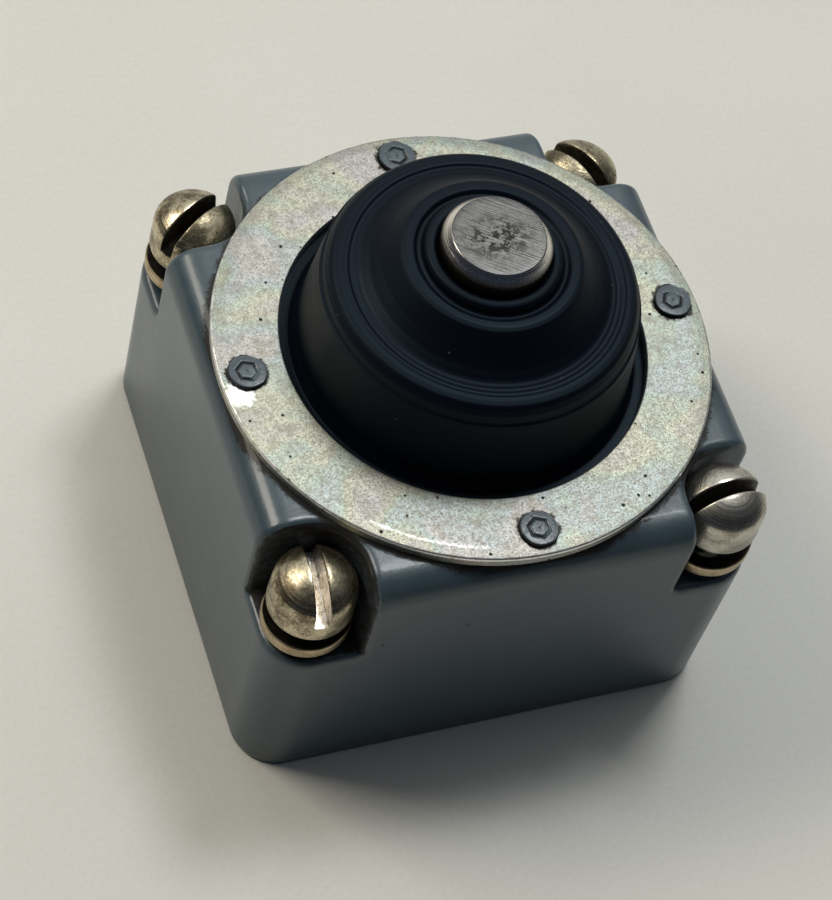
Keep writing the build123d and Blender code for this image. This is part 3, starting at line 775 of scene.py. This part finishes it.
# Degrees from a side to a corner, closest together where the pocket's edge crosses the square.
octant = np.concatenate([np.arange(0, 29, 2.0), np.arange(29.5, 35.5, 0.25), np.arange(35.5, 45.01, 0.475)])
quarter = np.concatenate([octant, 90 - octant[-2:0:-1]])
angles = np.radians(np.concatenate([quarter + turn_by for turn_by in (0, 90, 180, 270)]))
square_reach = reach_of(angles, square_distance)
cross_reach = reach_of(angles, lambda x, y: np.maximum(square_distance(x, y), -pocket_distance(x, y)))

quick_out = np.sin(np.linspace(0, math.pi / 2, 20))  # steps that shorten towards the far end
both_ends = (1 - np.cos(np.linspace(0, math.pi, 26))) / 2  # steps that shorten towards both ends
seat_line = np.full(angles.shape, SEAT_R + 0.3)
base_line = np.full(angles.shape, SEAT_R + 0.6)
skin_rows = []
for start, end, start_z, end_z, steps in (
    (seat_line, cross_reach, TOP, TOP, quick_out),
    (cross_reach, cross_reach, TOP, POCKET_FLOOR, both_ends),
    (cross_reach, square_reach, POCKET_FLOOR, POCKET_FLOOR, both_ends),
    (square_reach, square_reach, POCKET_FLOOR, 0.0, both_ends),
    (square_reach, base_line, 0.0, 0.0, 1 - quick_out[::-1]),
):
    for t in steps:
        radius = start + (end - start) * t
        height = np.full(angles.shape, start_z + (end_z - start_z) * t)
        skin_rows.append(np.stack([radius * np.cos(angles), radius * np.sin(angles), height], axis=-1))
skin = snap(np.array(skin_rows), casting_distance)
print("skin grid:", skin.shape)

# %% [markdown]
# Underneath, the casting has a gasket groove, a pilot recess, a seat for the spring plate, the spring
# chamber and the bushing's bore. All are round, so one outline walks through them from the base up
# to the boot's seat, and its rings of points use the skin's own angles.

# %% Casting's turned inside
GROOVE = (14.9, 13.3, 1.3)  # outer radius, inner radius and depth, for the gasket
PILOT_R, PILOT_Z = 12.5, 2.0  # each recess: its radius, and the height of its ceiling
PLATE_R, PLATE_Z = 11.8, 3.5
CHAMBER_R, CHAMBER_Z = 8.0, 18.9
BORE_R = 6.0
turned_rows = [(GROOVE[0], 0), (GROOVE[0], GROOVE[2]), (GROOVE[1], GROOVE[2]), (GROOVE[1], 0), (PILOT_R, 0)]
turned_rows += [(PILOT_R, PILOT_Z), (PLATE_R, PILOT_Z), (PLATE_R, PLATE_Z), (CHAMBER_R, PLATE_Z)]
turned_rows += [(CHAMBER_R, CHAMBER_Z), (BORE_R, CHAMBER_Z), (BORE_R, SEAT_Z), (SEAT_R, SEAT_Z)]
turned_rows += [(SEAT_R, TOP - 0.3)]
inner = np.array([[(r * math.cos(a), r * math.sin(a), z) for a in angles] for r, z in turned_rows])
body_points = np.concatenate([skin, inner])
housing = make_piece(
    "housing_casting", body_points, grid_faces(len(body_points), len(angles), close_rows=True), paint, 35.0
)
print("casting grid:", body_points.shape)


# %% [markdown]
# The screw passages and the plate's three threaded holes stand off the middle, so the grid can't hold
# them. They are cut with plain turned plugs, as drills would cut them. After the cut, every point is
# given its wear, its dirt and its painted shade from the same distance formulas.


# %% Casting holes
def cut(piece, plugs):
    """Cuts plug objects out of a piece for good, and removes the plugs."""
    for plug in plugs:
        cutter = piece.modifiers.new(plug.name, "BOOLEAN")
        cutter.operation = "DIFFERENCE"
        cutter.solver = "EXACT"
        cutter.object = plug
    view = bpy.context.evaluated_depsgraph_get()
    mesh = bpy.data.meshes.new_from_object(piece.evaluated_get(view))
    piece.modifiers.clear()
    piece.data = mesh
    for plug in plugs:
        bpy.data.objects.remove(plug)


def plug_at(name, outline, axis, columns=48):
    """A turned plug for cutting, on its own axis."""
    points, faces = spin(np.array(outline, float), columns, axis)
    return make_piece(name, points, faces, paint)


TAPPED_R, CORED_R, CORED_TOP = 1.75, 2.3, 11.0
PLATE_SCREW_CIRCLE, PLATE_HOLE_R, PLATE_HOLE_TOP = 9.4, 1.13, 8.0
passage = [(0, -1), (CORED_R, -1), (CORED_R, CORED_TOP), (TAPPED_R, CORED_TOP), (TAPPED_R, 18), (0, 18)]
corners = {
    "front_left": (-1, -1),
    "front_right": (1, -1),
    "back_left": (-1, 1),
    "back_right": (1, 1),
}
plugs = [
    plug_at(f"passage_{name}", passage, (side_x * SCREW_AT, side_y * SCREW_AT))
    for name, (side_x, side_y) in corners.items()
]
plate_angles = [math.radians(90 + 120 * i) for i in range(3)]
for i, a in enumerate(plate_angles):
    low, high = PLATE_Z - 1, PLATE_HOLE_TOP
    hole = [(0, low), (PLATE_HOLE_R, low), (PLATE_HOLE_R, high), (0, high)]
    axis = (PLATE_SCREW_CIRCLE * math.cos(a), PLATE_SCREW_CIRCLE * math.sin(a))
    plugs.append(plug_at(f"plate_hole_{i}", hole, axis, 24))
cut(housing, plugs)

place = places_of(housing)
rim_gap = np.maximum(-casting_distance(place, 1e-3), 0)
on_skin = np.abs(casting_distance(place)) < 0.02
write_values(housing, "edge", np.where(on_skin, np.clip(rim_gap / (0.29 * RIM_R), 0, 1), 0))
out = np.hypot(place[:, 0], place[:, 1]) - RING_OUT
under_ring = np.exp(-np.maximum(out, 0) / 0.9) * (place[:, 2] > TOP - 0.8)
wall = np.maximum(-pocket_distance(place[:, 0], place[:, 1]), 0)
in_pocket = (pocket_distance(place[:, 0], place[:, 1]) < 0.2) * (place[:, 2] > POCKET_FLOOR - 0.05)
# in_corner and shaded are painted shade with some dirt: darker where pocket walls meet floors, and darker
# over each pocket, most in the front left one, which faces away from the light. under_ring is grime beside
# the ring.
in_corner = in_pocket * np.exp(-(wall + np.abs(place[:, 2] - POCKET_FLOOR)) / 0.5)
shaded = in_pocket * np.where((place[:, 0] < 0) & (place[:, 1] < 0), 0.72, 0.3)
write_values(housing, "dirt_and_shade", np.clip(0.95 * under_ring + 0.7 * in_corner + shaded, 0, 1))
finish_piece(housing, "housing", "housing_paint", "housing")

# %% [markdown]
# ## Stakes
# Four pins cast with the head stand through the ring and are upset over it. The tool leaves its
# outline pressed in each head and the metal spreads unevenly, so the radius and the mark differ
# from stake to stake. The pressed line could be bump in the paint, but it catches the light better
# as real depth, so the heads are finely divided and the points are pushed down.

# %% Stakes
STAKE_PIN_R = 1.27
STAKE_HEAD_R = 1.42
STAKE_RIM = 0.14  # the head's rounded rim
MARK_WIDE, MARK_DEEP = 0.085, 0.13
CROWN = 0.05  # the head falls this much from its middle to its rim
stake_top = housing_high[2]
ring_top = ring_high[2]


def mark_depth(x, y, sides, size, turn_by, faint_at):
    """How deep the tool's outline is pressed: a thin band round a regular polygon, fainter on one side."""
    angle = np.arctan2(y, x) - turn_by
    sector = 2 * math.pi / sides
    folded = (angle + sector / 2) % sector - sector / 2
    out_of_polygon = np.hypot(x, y) * np.cos(folded) - size * math.cos(sector / 2)
    band = np.exp(-((out_of_polygon / MARK_WIDE) ** 2))
    shown = np.clip((np.cos(angle - faint_at) + 1.25) / 0.8, 0.4, 1)
    return band * shown


def make_stake(name, x, y, sides, size, turn_by, faint_at, seed):
    """One upset stake: rows run from the middle of its head, over the rim and under it, down the pin."""
    waves = np.random.default_rng(seed)
    angle = np.linspace(0, 2 * math.pi, 96, endpoint=False)
    uneven = sum(waves.normal(0, 0.011) * np.cos(k * angle + waves.uniform(0, 6.28)) for k in range(2, 8))
    flat_r, rim_z = STAKE_HEAD_R - STAKE_RIM, stake_top - STAKE_RIM
    rows = [(t * flat_r, stake_top) for t in np.linspace(0, 1, 26)]
    for a in np.linspace(0.3, math.pi / 2, 5):
        rows.append((flat_r + STAKE_RIM * math.sin(a), rim_z + STAKE_RIM * math.cos(a)))
    rows += [(STAKE_HEAD_R, ring_top + 0.06), (STAKE_HEAD_R - 0.05, ring_top), (STAKE_PIN_R, ring_top - 0.01)]
    rows += [(STAKE_PIN_R, TOP - 0.4), (0, TOP - 0.4)]
    rows = np.array(rows)
    reach = rows[:, 0][:, None] * (1 + uneven)
    px, py = reach * np.cos(angle), reach * np.sin(angle)
    pz = np.broadcast_to(rows[:, 1][:, None], px.shape).copy()
    on_head = pz > stake_top - 0.02
    crown = CROWN * (reach / STAKE_HEAD_R) ** 2
    pressed = MARK_DEEP * mark_depth(px, py, sides, size, turn_by, faint_at)
    rough = 0.012 * (stake_top - ring_top) * waves.normal(0, 1, px.shape)
    pz = np.where(on_head, pz - crown - pressed - rough, pz)
    points = np.stack([px + x, py + y, pz], axis=-1)
    stake = make_piece(name, points, grid_faces(len(rows), len(angle)), paint, 50.0)
    place = places_of(stake)
    local = place[:, :2] - (x, y)
    low_rim = np.clip((np.hypot(*local.T) - STAKE_HEAD_R + 0.12) / 0.12, 0, 1)
    marks = mark_depth(local[:, 0], local[:, 1], sides, size, turn_by, faint_at)
    write_values(stake, "edge", np.zeros(len(place)))
    # The dark rim round each head and the dark pressed lines are dirt and painted shade together.
    write_values(stake, "dirt_and_shade", np.clip(0.25 + np.maximum(0.75 * low_rim, 0.8 * marks), 0, 1))
    finish_piece(stake, "housing", "housing_paint", "housing")


make_stake("stake_left", -STAKE_AT, 0, 6, 0.78, 0.2, 2.4, 3)
make_stake("stake_front", 0, -STAKE_AT, 6, 0.80, 2.2, 0.4, 5)
make_stake("stake_right", STAKE_AT, 0, 6, 0.74, 0.6, 3.6, 8)
make_stake("stake_back", 0, STAKE_AT, 6, 0.78, 1.1, 5.0, 11)

# %% [markdown]
# ## Boot clamp ring
# The ring is stamped from sheet, so its top edges are rolled over and its outer margin bends down a
# little, which catches a line of light. It also isn't quite flat. A plain washer with a bevel would
# miss the bend, so the outline is turned in 360 steps and its points are then lowered.

# %% Ring
RING_IN = 13.64
RING_HOLE_R = 1.32
ROLL = 0.22  # radius of the rolled outer edge
MARGIN_DIP, UNEVEN = 0.07, 0.012
ring_corners = [(RING_IN, TOP), (RING_OUT, TOP), (RING_OUT, ring_top), (RING_IN, ring_top)]
ring_outline = softened(ring_corners, (0.08, 0.1, ROLL, 0.16), 6)
ring_outline = evenly(ring_outline, 0.22)
ring_points, ring_faces = spin(ring_outline, 360)
radius = np.hypot(ring_points[..., 0], ring_points[..., 1])
angle = np.arctan2(ring_points[..., 1], ring_points[..., 0])
margin = np.clip((radius - (RING_OUT - 1.0)) / 0.9, 0, 1)
upper = (ring_points[..., 2] - TOP) / (ring_top - TOP)
dip = MARGIN_DIP * margin**2 * (3 - 2 * margin)
dip = dip + UNEVEN * (1 + np.sin(3 * angle + 0.6) * np.sin(radius + 1.3))
ring_points[..., 2] -= upper * dip
ring = make_piece("clamp_ring", ring_points, ring_faces, plating, 50.0)
hole = [(0, TOP - 1), (RING_HOLE_R, TOP - 1), (RING_HOLE_R, ring_top + 1), (0, ring_top + 1)]
plugs = []
for i in range(4):
    a = math.radians(90 * i)
    plugs.append(plug_at(f"stake_hole_{i}", hole, (STAKE_AT * math.cos(a), STAKE_AT * math.sin(a)), 40))
cut(ring, plugs)

# %% [markdown]
# The plating is worn to bright metal on both edges and in a patch beside the left stake. A short
# arc is painted bright too, partly a scrape and partly a painted highlight along the bent margin.
# Each is a soft mask worked out for every point, and the finish breaks it up with noise.

# %% Ring wear
SCRAPE_X, SCRAPE_Y, SCRAPE_R = -17.5, -1.5, 1.3  # the bare patch beside the left stake
ARC_R, ARC_WIDE = 17.65, 0.17  # the arc's radius and half width; the arc is partly a painted highlight
ARC_FROM, ARC_TO = -138, -97  # where it starts and ends, in degrees from the x axis
place = places_of(ring)
radius = np.hypot(place[:, 0], place[:, 1])
upper = place[:, 2] > TOP + 0.6
outer_edge = np.exp(-(RING_OUT - radius) / 0.16)
inner_edge = 0.8 * np.exp(-(radius - RING_IN) / 0.12)
write_values(ring, "edge", upper * np.maximum(outer_edge, inner_edge))
scraped = np.hypot(place[:, 0] - SCRAPE_X, (place[:, 1] - SCRAPE_Y) / 1.2)
patch = np.clip(1.15 - scraped / SCRAPE_R, 0, 0.75)
around = np.degrees(np.arctan2(place[:, 1], place[:, 0]))
# The arc is partly a scrape and partly a painted highlight along the margin that bends down.
arc = np.exp(-(((radius - ARC_R) / ARC_WIDE) ** 2))
arc = arc * np.clip((around - ARC_FROM) / 10, 0, 1) * np.clip((ARC_TO - around) / 8, 0, 1)
write_values(ring, "scrape_and_highlight", upper * np.maximum(patch, 0.52 * arc))
finish_piece(ring, "housing", "ring_zinc", "boot_retaining_ring")

# %% [markdown]
# ## Boot
# The boot is one turned rubber moulding: a flange under the ring, a wall that leans in, a rounded
# shoulder with a flash line below it, two fine ridges, a cone, and a collar that grips the plunger.
# It is divided finely. A Screw modifier would turn the same outline, but here plain points are turned.

# %% Boot
boot_low, boot_high = box_mm("boot")
FOOT = boot_low[2]
BOOT_OUT = boot_high[0]
outside_wall = [(BOOT_OUT, FOOT), (BOOT_OUT, TOP - 0.06), (12.85, TOP - 0.06)]
outside_wall += [(12.42, 25.3), (12.28, 26.6), (12.05, 28.6), (11.78, 30.6)]
outside_wall += [(11.68, 31.3), (11.68, 31.42), (11.5, 31.5), (11.46, 31.7)]
shoulder = [(11.36, 32.2), (11.12, 32.62), (10.86, 32.86)]
ridges = [(10.5, 32.96), (10.25, 32.98), (10.05, 33.06), (9.88, 33.04), (9.74, 32.93), (9.54, 32.92)]
ridges += [(9.36, 33.0), (9.15, 33.03), (8.95, 33.13)]
cone = [(8.4, 33.5), (7.7, 34.16), (7.1, 34.82), (6.72, 35.24)]
cone += [(6.5, 35.46), (6.2, 35.56), (5.8, 35.6), (5.62, 35.56)]
collar = [(5.42, 35.34), (5.24, 35.3), (5.08, 35.42), (4.96, 35.78)]
collar += [(4.82, 36.0), (4.6, 36.08), (4.3, 36.08), (4.03, 35.9)]
underside = [(4.0, 35.6), (4.0, 33.7), (5.6, 33.6), (8.7, 31.95), (9.9, 31.5), (10.3, 31.1), (10.45, 30.4)]
inside_wall = [(10.85, 28.0), (11.15, 25.0), (11.2, FOOT)]
boot_outline = np.array(outside_wall + shoulder + ridges + cone + collar + underside + inside_wall)
boot_outline = evenly(softened(boot_outline, 0.22, 3), 0.2)
boot_points, boot_faces = spin(boot_outline, 200)
boot = make_piece("rubber_boot", boot_points, boot_faces, boot_rubber, 60.0)
mark_turned(boot)
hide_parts("boot")
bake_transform(boot)
print("rubber_boot:", len(boot.data.polygons), "faces, follows casting and plunger")

# %% [markdown]
# ## Plunger
# A ground steel rod with a chamfer, a groove that the boot's collar grips, a clip groove and a bore
# for the sprung pin. It is one turned outline. Attributes tell its ground face, its chamfer and the
# struck middle apart, so that a single finish can serve all three.

# %% Plunger
plunger_low, plunger_high = box_mm("plunger")
P_R, P_TOP, P_BOTTOM = plunger_high[0], plunger_high[2], plunger_low[2]
FACE_R = P_R - 0.62
CHAMFER_Z = P_TOP - 0.8
CLIP_GROOVE = (3.2, 18.0, 18.8)
BOOT_GROOVE = (3.65, 34.5, 35.1)
PIN_BORE = (2.7, 16.5)
plunger_outline = [(0, P_TOP), (FACE_R, P_TOP), (P_R, CHAMFER_Z)]
for root, low, high in (BOOT_GROOVE, CLIP_GROOVE):
    plunger_outline += [(P_R, high), (root, high), (root, low), (P_R, low)]
bore_r, bore_top = PIN_BORE
plunger_outline += [(P_R, P_BOTTOM), (bore_r, P_BOTTOM), (bore_r, bore_top), (0, bore_top + bore_r / 2)]
soft = np.full(len(plunger_outline), 0.06)
soft[1] = 0.14
soft[[0, -1]] = 0
plunger_outline = evenly(softened(plunger_outline, soft, 4), 0.5)
plunger_points, plunger_faces = spin(plunger_outline, 160)
plunger = make_piece("steel_plunger", plunger_points, plunger_faces, plunger_steel, 50.0)
mark_turned(plunger)
place = places_of(plunger)
radius = np.hypot(place[:, 0], place[:, 1])
write_values(plunger, "face", (place[:, 2] > P_TOP - 0.03) & (radius < FACE_R + 0.02))
write_values(plunger, "chamfer", (place[:, 2] > CHAMFER_Z + 0.3) & (radius > FACE_R))
off_middle = np.hypot((place[:, 0] + 0.2) / 1.9, (place[:, 1] + 0.1) / 1.4)
write_values(plunger, "struck", (place[:, 2] > P_TOP - 0.01) * np.clip(1.6 - off_middle, 0, 1))
finish_piece(plunger, "plunger", "plunger_steel", "plunger")

# %% [markdown]
# ## Captive screws
# A slotted screw is a turned head with a straight cut across it. Rows of the grid start in the
# middle of the slot's floor and run out to the slot's wall, up it, over the dome and down the side,
# then on under the head and down the shank. Columns are set so that many of them climb the slot's
# wall. A boolean cut would leave the slot's edges sharp, and here the distance formula rounds them.
# The thread is a true helix: its radius depends on height less pitch times turn.

# %% Screw shape
HEAD_R, HEAD_TAPER, HEAD_SIDE, HEAD_TALL = 3.17, 0.1, 2.8, 4.35
SLOT_HALF, SLOT_DEEP = 0.52, 2.75
SHANK_R, THREAD_R, THREAD_ROOT = 1.45, 2.05, 1.72
PITCH, THREAD_LONG, SCREW_LONG = 0.794, 7.9, 18.3
EDGE_R = 0.16  # where the slot meets the dome
DOME_TALL = HEAD_TALL - HEAD_SIDE
DOME_R = ((HEAD_R - HEAD_TAPER) ** 2 + DOME_TALL**2) / (2 * DOME_TALL)


def head_distance(points):
    """Distance outside a domed, slotted head that stands on height zero, its slot along x."""
    x, y, z = points[..., 0], points[..., 1], points[..., 2]
    radius = np.hypot(x, y)
    side = radius - (HEAD_R - HEAD_TAPER * z / HEAD_SIDE)
    dome = np.hypot(radius, z - (HEAD_TALL - DOME_R)) - DOME_R
    whole = round_max(round_max(side, dome, 0.22), -z, 0.15)
    slot = round_max(np.abs(y) - SLOT_HALF, (HEAD_TALL - SLOT_DEEP) - z, 0.07)
    return round_max(whole, -slot, EDGE_R)


def screw_columns():
    """Angles round the head: evenly spaced, plus those that meet the slot's wall at even steps along it."""
    along = np.arange(0.0, 3.2, 0.07)
    wall_angles = np.arctan2(SLOT_HALF, along)
    even_angles = np.radians(np.arange(0, 90.1, 3.0))
    quarter_angles = np.unique(np.round(np.concatenate([wall_angles, even_angles]), 4))
    keep = np.concatenate([[True], np.diff(quarter_angles) > 0.004])
    quarter_angles = quarter_angles[keep]
    quarter_angles = quarter_angles[quarter_angles < math.pi / 2 - 0.01]
    mirrored = np.concatenate([quarter_angles, [math.pi / 2], math.pi - quarter_angles[:0:-1]])
    return np.concatenate([mirrored, mirrored + math.pi])


def head_grid(angle):
    """The head's rows, snapped to its distance formula: slot floor, slot wall, dome, side, underside."""
    floor_z = HEAD_TALL - SLOT_DEEP
    to_wall = SLOT_HALF / np.maximum(np.abs(np.sin(angle)), 1e-9)
    wall_at = np.minimum(to_wall, HEAD_R - HEAD_TAPER * floor_z / HEAD_SIDE)
    dome_z = np.minimum(HEAD_TALL - DOME_R + np.sqrt(np.maximum(DOME_R**2 - wall_at**2, 0)), HEAD_TALL)
    leaves_slot = to_wall >= wall_at + 1e-6
    wall_top = np.where(leaves_slot, floor_z, dome_z)
    rim_at, rim_z = HEAD_R - HEAD_TAPER, np.where(leaves_slot, floor_z, HEAD_SIDE)
    rows = [(wall_at * t, np.full_like(angle, floor_z)) for t in np.linspace(0, 1, 8)]
    rows += [(wall_at, floor_z + (wall_top - floor_z) * t) for t in np.linspace(0.05, 1, 14)]
    for t in np.sin(np.linspace(0.05, 1, 22) * math.pi / 2):
        radius = wall_at + (np.maximum(rim_at, wall_at) - wall_at) * t
        on_dome = HEAD_TALL - DOME_R + np.sqrt(DOME_R**2 - np.minimum(radius, rim_at) ** 2)
        rows.append((radius, np.where(leaves_slot, floor_z, on_dome)))
    for t in np.linspace(0.06, 1, 14):
        z = rim_z * (1 - t)
        rows.append((HEAD_R - HEAD_TAPER * z / HEAD_SIDE, z))
    rows += [(HEAD_R + (SHANK_R + 0.2 - HEAD_R) * t, np.zeros_like(angle)) for t in np.linspace(0.1, 1, 5)]
    cos, sin = np.cos(angle), np.sin(angle)
    head = np.array([np.stack([r * cos, r * sin, z + 0 * angle], axis=-1) for r, z in rows])
    return snap(head, head_distance)


def shank_grid(angle):
    """The neck, the threaded end and its closed tip. Radius = root + crest(height / pitch - turn)."""
    thread_top = THREAD_LONG - SCREW_LONG
    neck_heights = np.concatenate([[-0.02, -0.12], np.linspace(-0.3, thread_top + 0.4, 5)])
    heights = np.concatenate([neck_heights, np.arange(thread_top + 0.2, -SCREW_LONG, -PITCH / 7)])
    z = heights[:, None] + 0 * angle
    turn_part = (z / PITCH - angle / (2 * math.pi)) % 1.0
    crest = np.clip(1.25 - 2.5 * np.abs(turn_part - 0.5), 0, 1)
    run_in = np.clip((thread_top - z) / PITCH, 0, 1) * np.clip((z + SCREW_LONG) / PITCH + 0.25, 0, 1)
    plain = SHANK_R + (THREAD_ROOT - SHANK_R) * np.clip((thread_top + 0.2 - z) / 0.4, 0, 1)
    radius = plain + (THREAD_R - THREAD_ROOT) * crest * run_in
    radius[0] += 0.18  # the first two rows are the fillet under the head
    radius[1] += 0.04
    shank = np.stack([radius * np.cos(angle), radius * np.sin(angle), z], axis=-1)
    tip = np.zeros((2, len(angle), 3))
    tip_r = 0.8 * THREAD_ROOT
    tip[0] = np.stack([tip_r * np.cos(angle), tip_r * np.sin(angle), 0 * angle - SCREW_LONG], axis=-1)
    tip[1, :, 2] = -SCREW_LONG
    return np.concatenate([shank, tip])


# %% [markdown]
# Each screw is turned to its own slot angle and stands at its CAD node's height. The front left slot
# is rubbed bright by a screwdriver and the others are darkened, dirt and painted shade together.


# %% Screws in place
def make_screw(name, x, y, under_head, slot_angle, worn):
    """One captive screw in its place, from the slot's middle to the tip of its thread."""
    angle = screw_columns()
    local = np.concatenate([head_grid(angle), shank_grid(angle)])
    c, s = math.cos(math.radians(slot_angle)), math.sin(math.radians(slot_angle))
    points = local.copy()
    points[..., 0] = x + c * local[..., 0] - s * local[..., 1]
    points[..., 1] = y + s * local[..., 0] + c * local[..., 1]
    points[..., 2] = local[..., 2] + under_head
    screw = make_piece(name, points, grid_faces(len(local), len(angle)), screw_zinc, 42.0)
    mark_turned(screw, (x, y))
    local = places_of(screw) - (x, y, under_head)
    off_slot = np.abs(c * local[:, 1] - s * local[:, 0])
    slot_floor = HEAD_TALL - SLOT_DEEP - 0.1
    in_slot = np.clip((SLOT_HALF + 0.04 - off_slot) / 0.06, 0, 1) * (local[:, 2] > slot_floor)
    # The other slots are darkened with dirt and painted shade.
    write_values(screw, "rubbed" if worn else "dirt_and_shade", in_slot)
    return screw


SLOT_ANGLES = {"front_left": 84.5, "front_right": 4.5, "back_left": 31.7, "back_right": -62.0}
BARE_SHARE = {"front_right": 0.75}  # this one has lost most of its brassy tint
for corner, (side_x, side_y) in corners.items():
    node = f"captive_screw_{corner}"
    under_head = box_mm(node)[0][2] + SCREW_LONG
    name, worn = f"slotted_screw_{corner}", corner == "front_left"
    axis = (side_x * SCREW_AT, side_y * SCREW_AT)
    screw = make_screw(name, *axis, under_head, SLOT_ANGLES[corner], worn)
    write_values(screw, "bare", np.full(len(screw.data.vertices), BARE_SHARE.get(corner, 0.0)))
    finish_piece(screw, node, "screw_zinc", node)

# %% [markdown]
# ## Lock washers and springs
# Both are a section carried along a helix. A bevelled curve could do it, but its section may twist.
# Here, at each step, the section stands on the direction away from the axis and on the direction
# square to both that and the path, so it can't.


# %% Helix tools
def carry(path, outward, section):
    """A section in its outward and upright directions, carried along a path, with its ends capped."""
    along = np.gradient(path, axis=0)
    along /= np.linalg.norm(along, axis=1, keepdims=True)
    upright = np.cross(along, outward)
    upright /= np.linalg.norm(upright, axis=1, keepdims=True)
    sideways = section[None, :, :1] * outward[:, None, :]
    points = path[:, None, :] + sideways + section[None, :, 1:] * upright[:, None, :]
    rows, columns = points.shape[:2]
    faces = [list(f) for f in grid_faces(rows, columns)]
    faces += [list(range(columns))[::-1], [(rows - 1) * columns + c for c in range(columns)]]
    return points, faces


def helix(radius, bottom, top_z, turns, steps, axis=(0.0, 0.0), start=0.0):
    """A helix and its outward directions: the angle and the height both grow evenly."""
    t = np.linspace(0, 1, steps)
    angle = start + 2 * math.pi * turns * t
    z = bottom + (top_z - bottom) * t
    outward = np.stack([np.cos(angle), np.sin(angle), 0 * angle], axis=1)
    path = np.stack([axis[0] + radius * np.cos(angle), axis[1] + radius * np.sin(angle), z], axis=1)
    return path, outward


# %% Lock washers
WASHER_MEAN, WASHER_WIDE, WASHER_SWEEP = 2.7, 1.1, 350.0
SPLIT_ANGLES = {"front_left": -6.0, "front_right": 8.0, "back_left": -6.0, "back_right": 20.0}
half_wide = WASHER_WIDE / 2
washer_corners = [(x * half_wide, y * half_wide) for x, y in ((-1, -1), (1, -1), (1, 1), (-1, 1))]
washer_section = softened(washer_corners, 0.14, 3)
for corner, (side_x, side_y) in corners.items():
    node = f"lock_washer_{corner}"
    low, high = box_mm(node)
    axis = (side_x * SCREW_AT, side_y * SCREW_AT)
    bottom, top_z = low[2] + half_wide + 0.01, high[2] - half_wide - 0.01
    split_at = math.radians(SPLIT_ANGLES[corner])
    path, outward = helix(WASHER_MEAN, bottom, top_z, WASHER_SWEEP / 360, 140, axis, split_at)
    points, faces = carry(path, outward, washer_section)
    washer = make_piece(f"split_washer_{corner}", points, faces, washer_zinc, 50.0)
    mark_turned(washer, axis)
    place = places_of(washer)
    from_axis = np.hypot(place[:, 0] - axis[0], place[:, 1] - axis[1])
    # Painted shade: each washer is darkened all but its outer rim, where the screw head shades it, and near
    # the pocket floor.
    shaded_inner_part = np.clip((WASHER_MEAN + half_wide - 0.02 - from_axis) / 0.08, 0, 1)
    shaded_near_floor = np.clip((low[2] + 0.45 - place[:, 2]) / 0.2, 0, 1)
    write_values(washer, "dirt_and_shade", np.maximum(shaded_inner_part, 0.9 * shaded_near_floor))
    finish_piece(washer, "housing", "washer_zinc", node)


# %% [markdown]
# A spring's two ends bear on different bodies; here each whole spring rides on one of them.


# %% Springs
def make_spring(node, name, turns, wire, body):
    """A coil spring in its CAD node's space, tied to one body."""
    low, high = box_mm(node)
    mean = high[0] - wire
    path, outward = helix(mean, low[2] + wire, high[2] - wire, turns, int(turns * 60))
    turn_angle = np.linspace(0, 2 * math.pi, 16, endpoint=False)
    section = np.stack([wire * np.cos(turn_angle), wire * np.sin(turn_angle)], axis=1)
    points, faces = carry(path, outward, section)
    spring = make_piece(name, points, faces, spring_steel, 50.0)
    mark_turned(spring)
    finish_piece(spring, body, "spring_steel", node)
    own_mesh(spring)


make_spring("return_spring", "return_coil", 5.5, 0.55, "housing")
make_spring("overtravel_spring", "overtravel_coil", 8, 0.25, "plunger")

# %% [markdown]
# ## Parts inside
# The bushing, seal, washer, clip, plate and pin are plain turned or stamped pieces that the CAD
# model already has right, so they keep their CAD meshes and only get their finishes.

# %% Finishes of the CAD nodes that stay
kept = {
    "plunger_bushing": bushing_bronze,
    "plunger_seal": seal_rubber,
    "seal_retainer": plate_zinc,
    "retaining_clip": clip_steel,
    "spring_seat": plate_zinc,
    "actuating_pin": plunger_steel,
    "pin_guide_bush": guide_brass,
    "spring_plate": plate_zinc,
    "plate_screws": screw_zinc,
    "base_gasket": gasket_rubber,
}
for node, material in kept.items():
    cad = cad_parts[node]
    cad.data.materials.clear()
    cad.data.materials.append(material)
    mark_turned(cad)
print("kept CAD nodes:", sorted(kept))
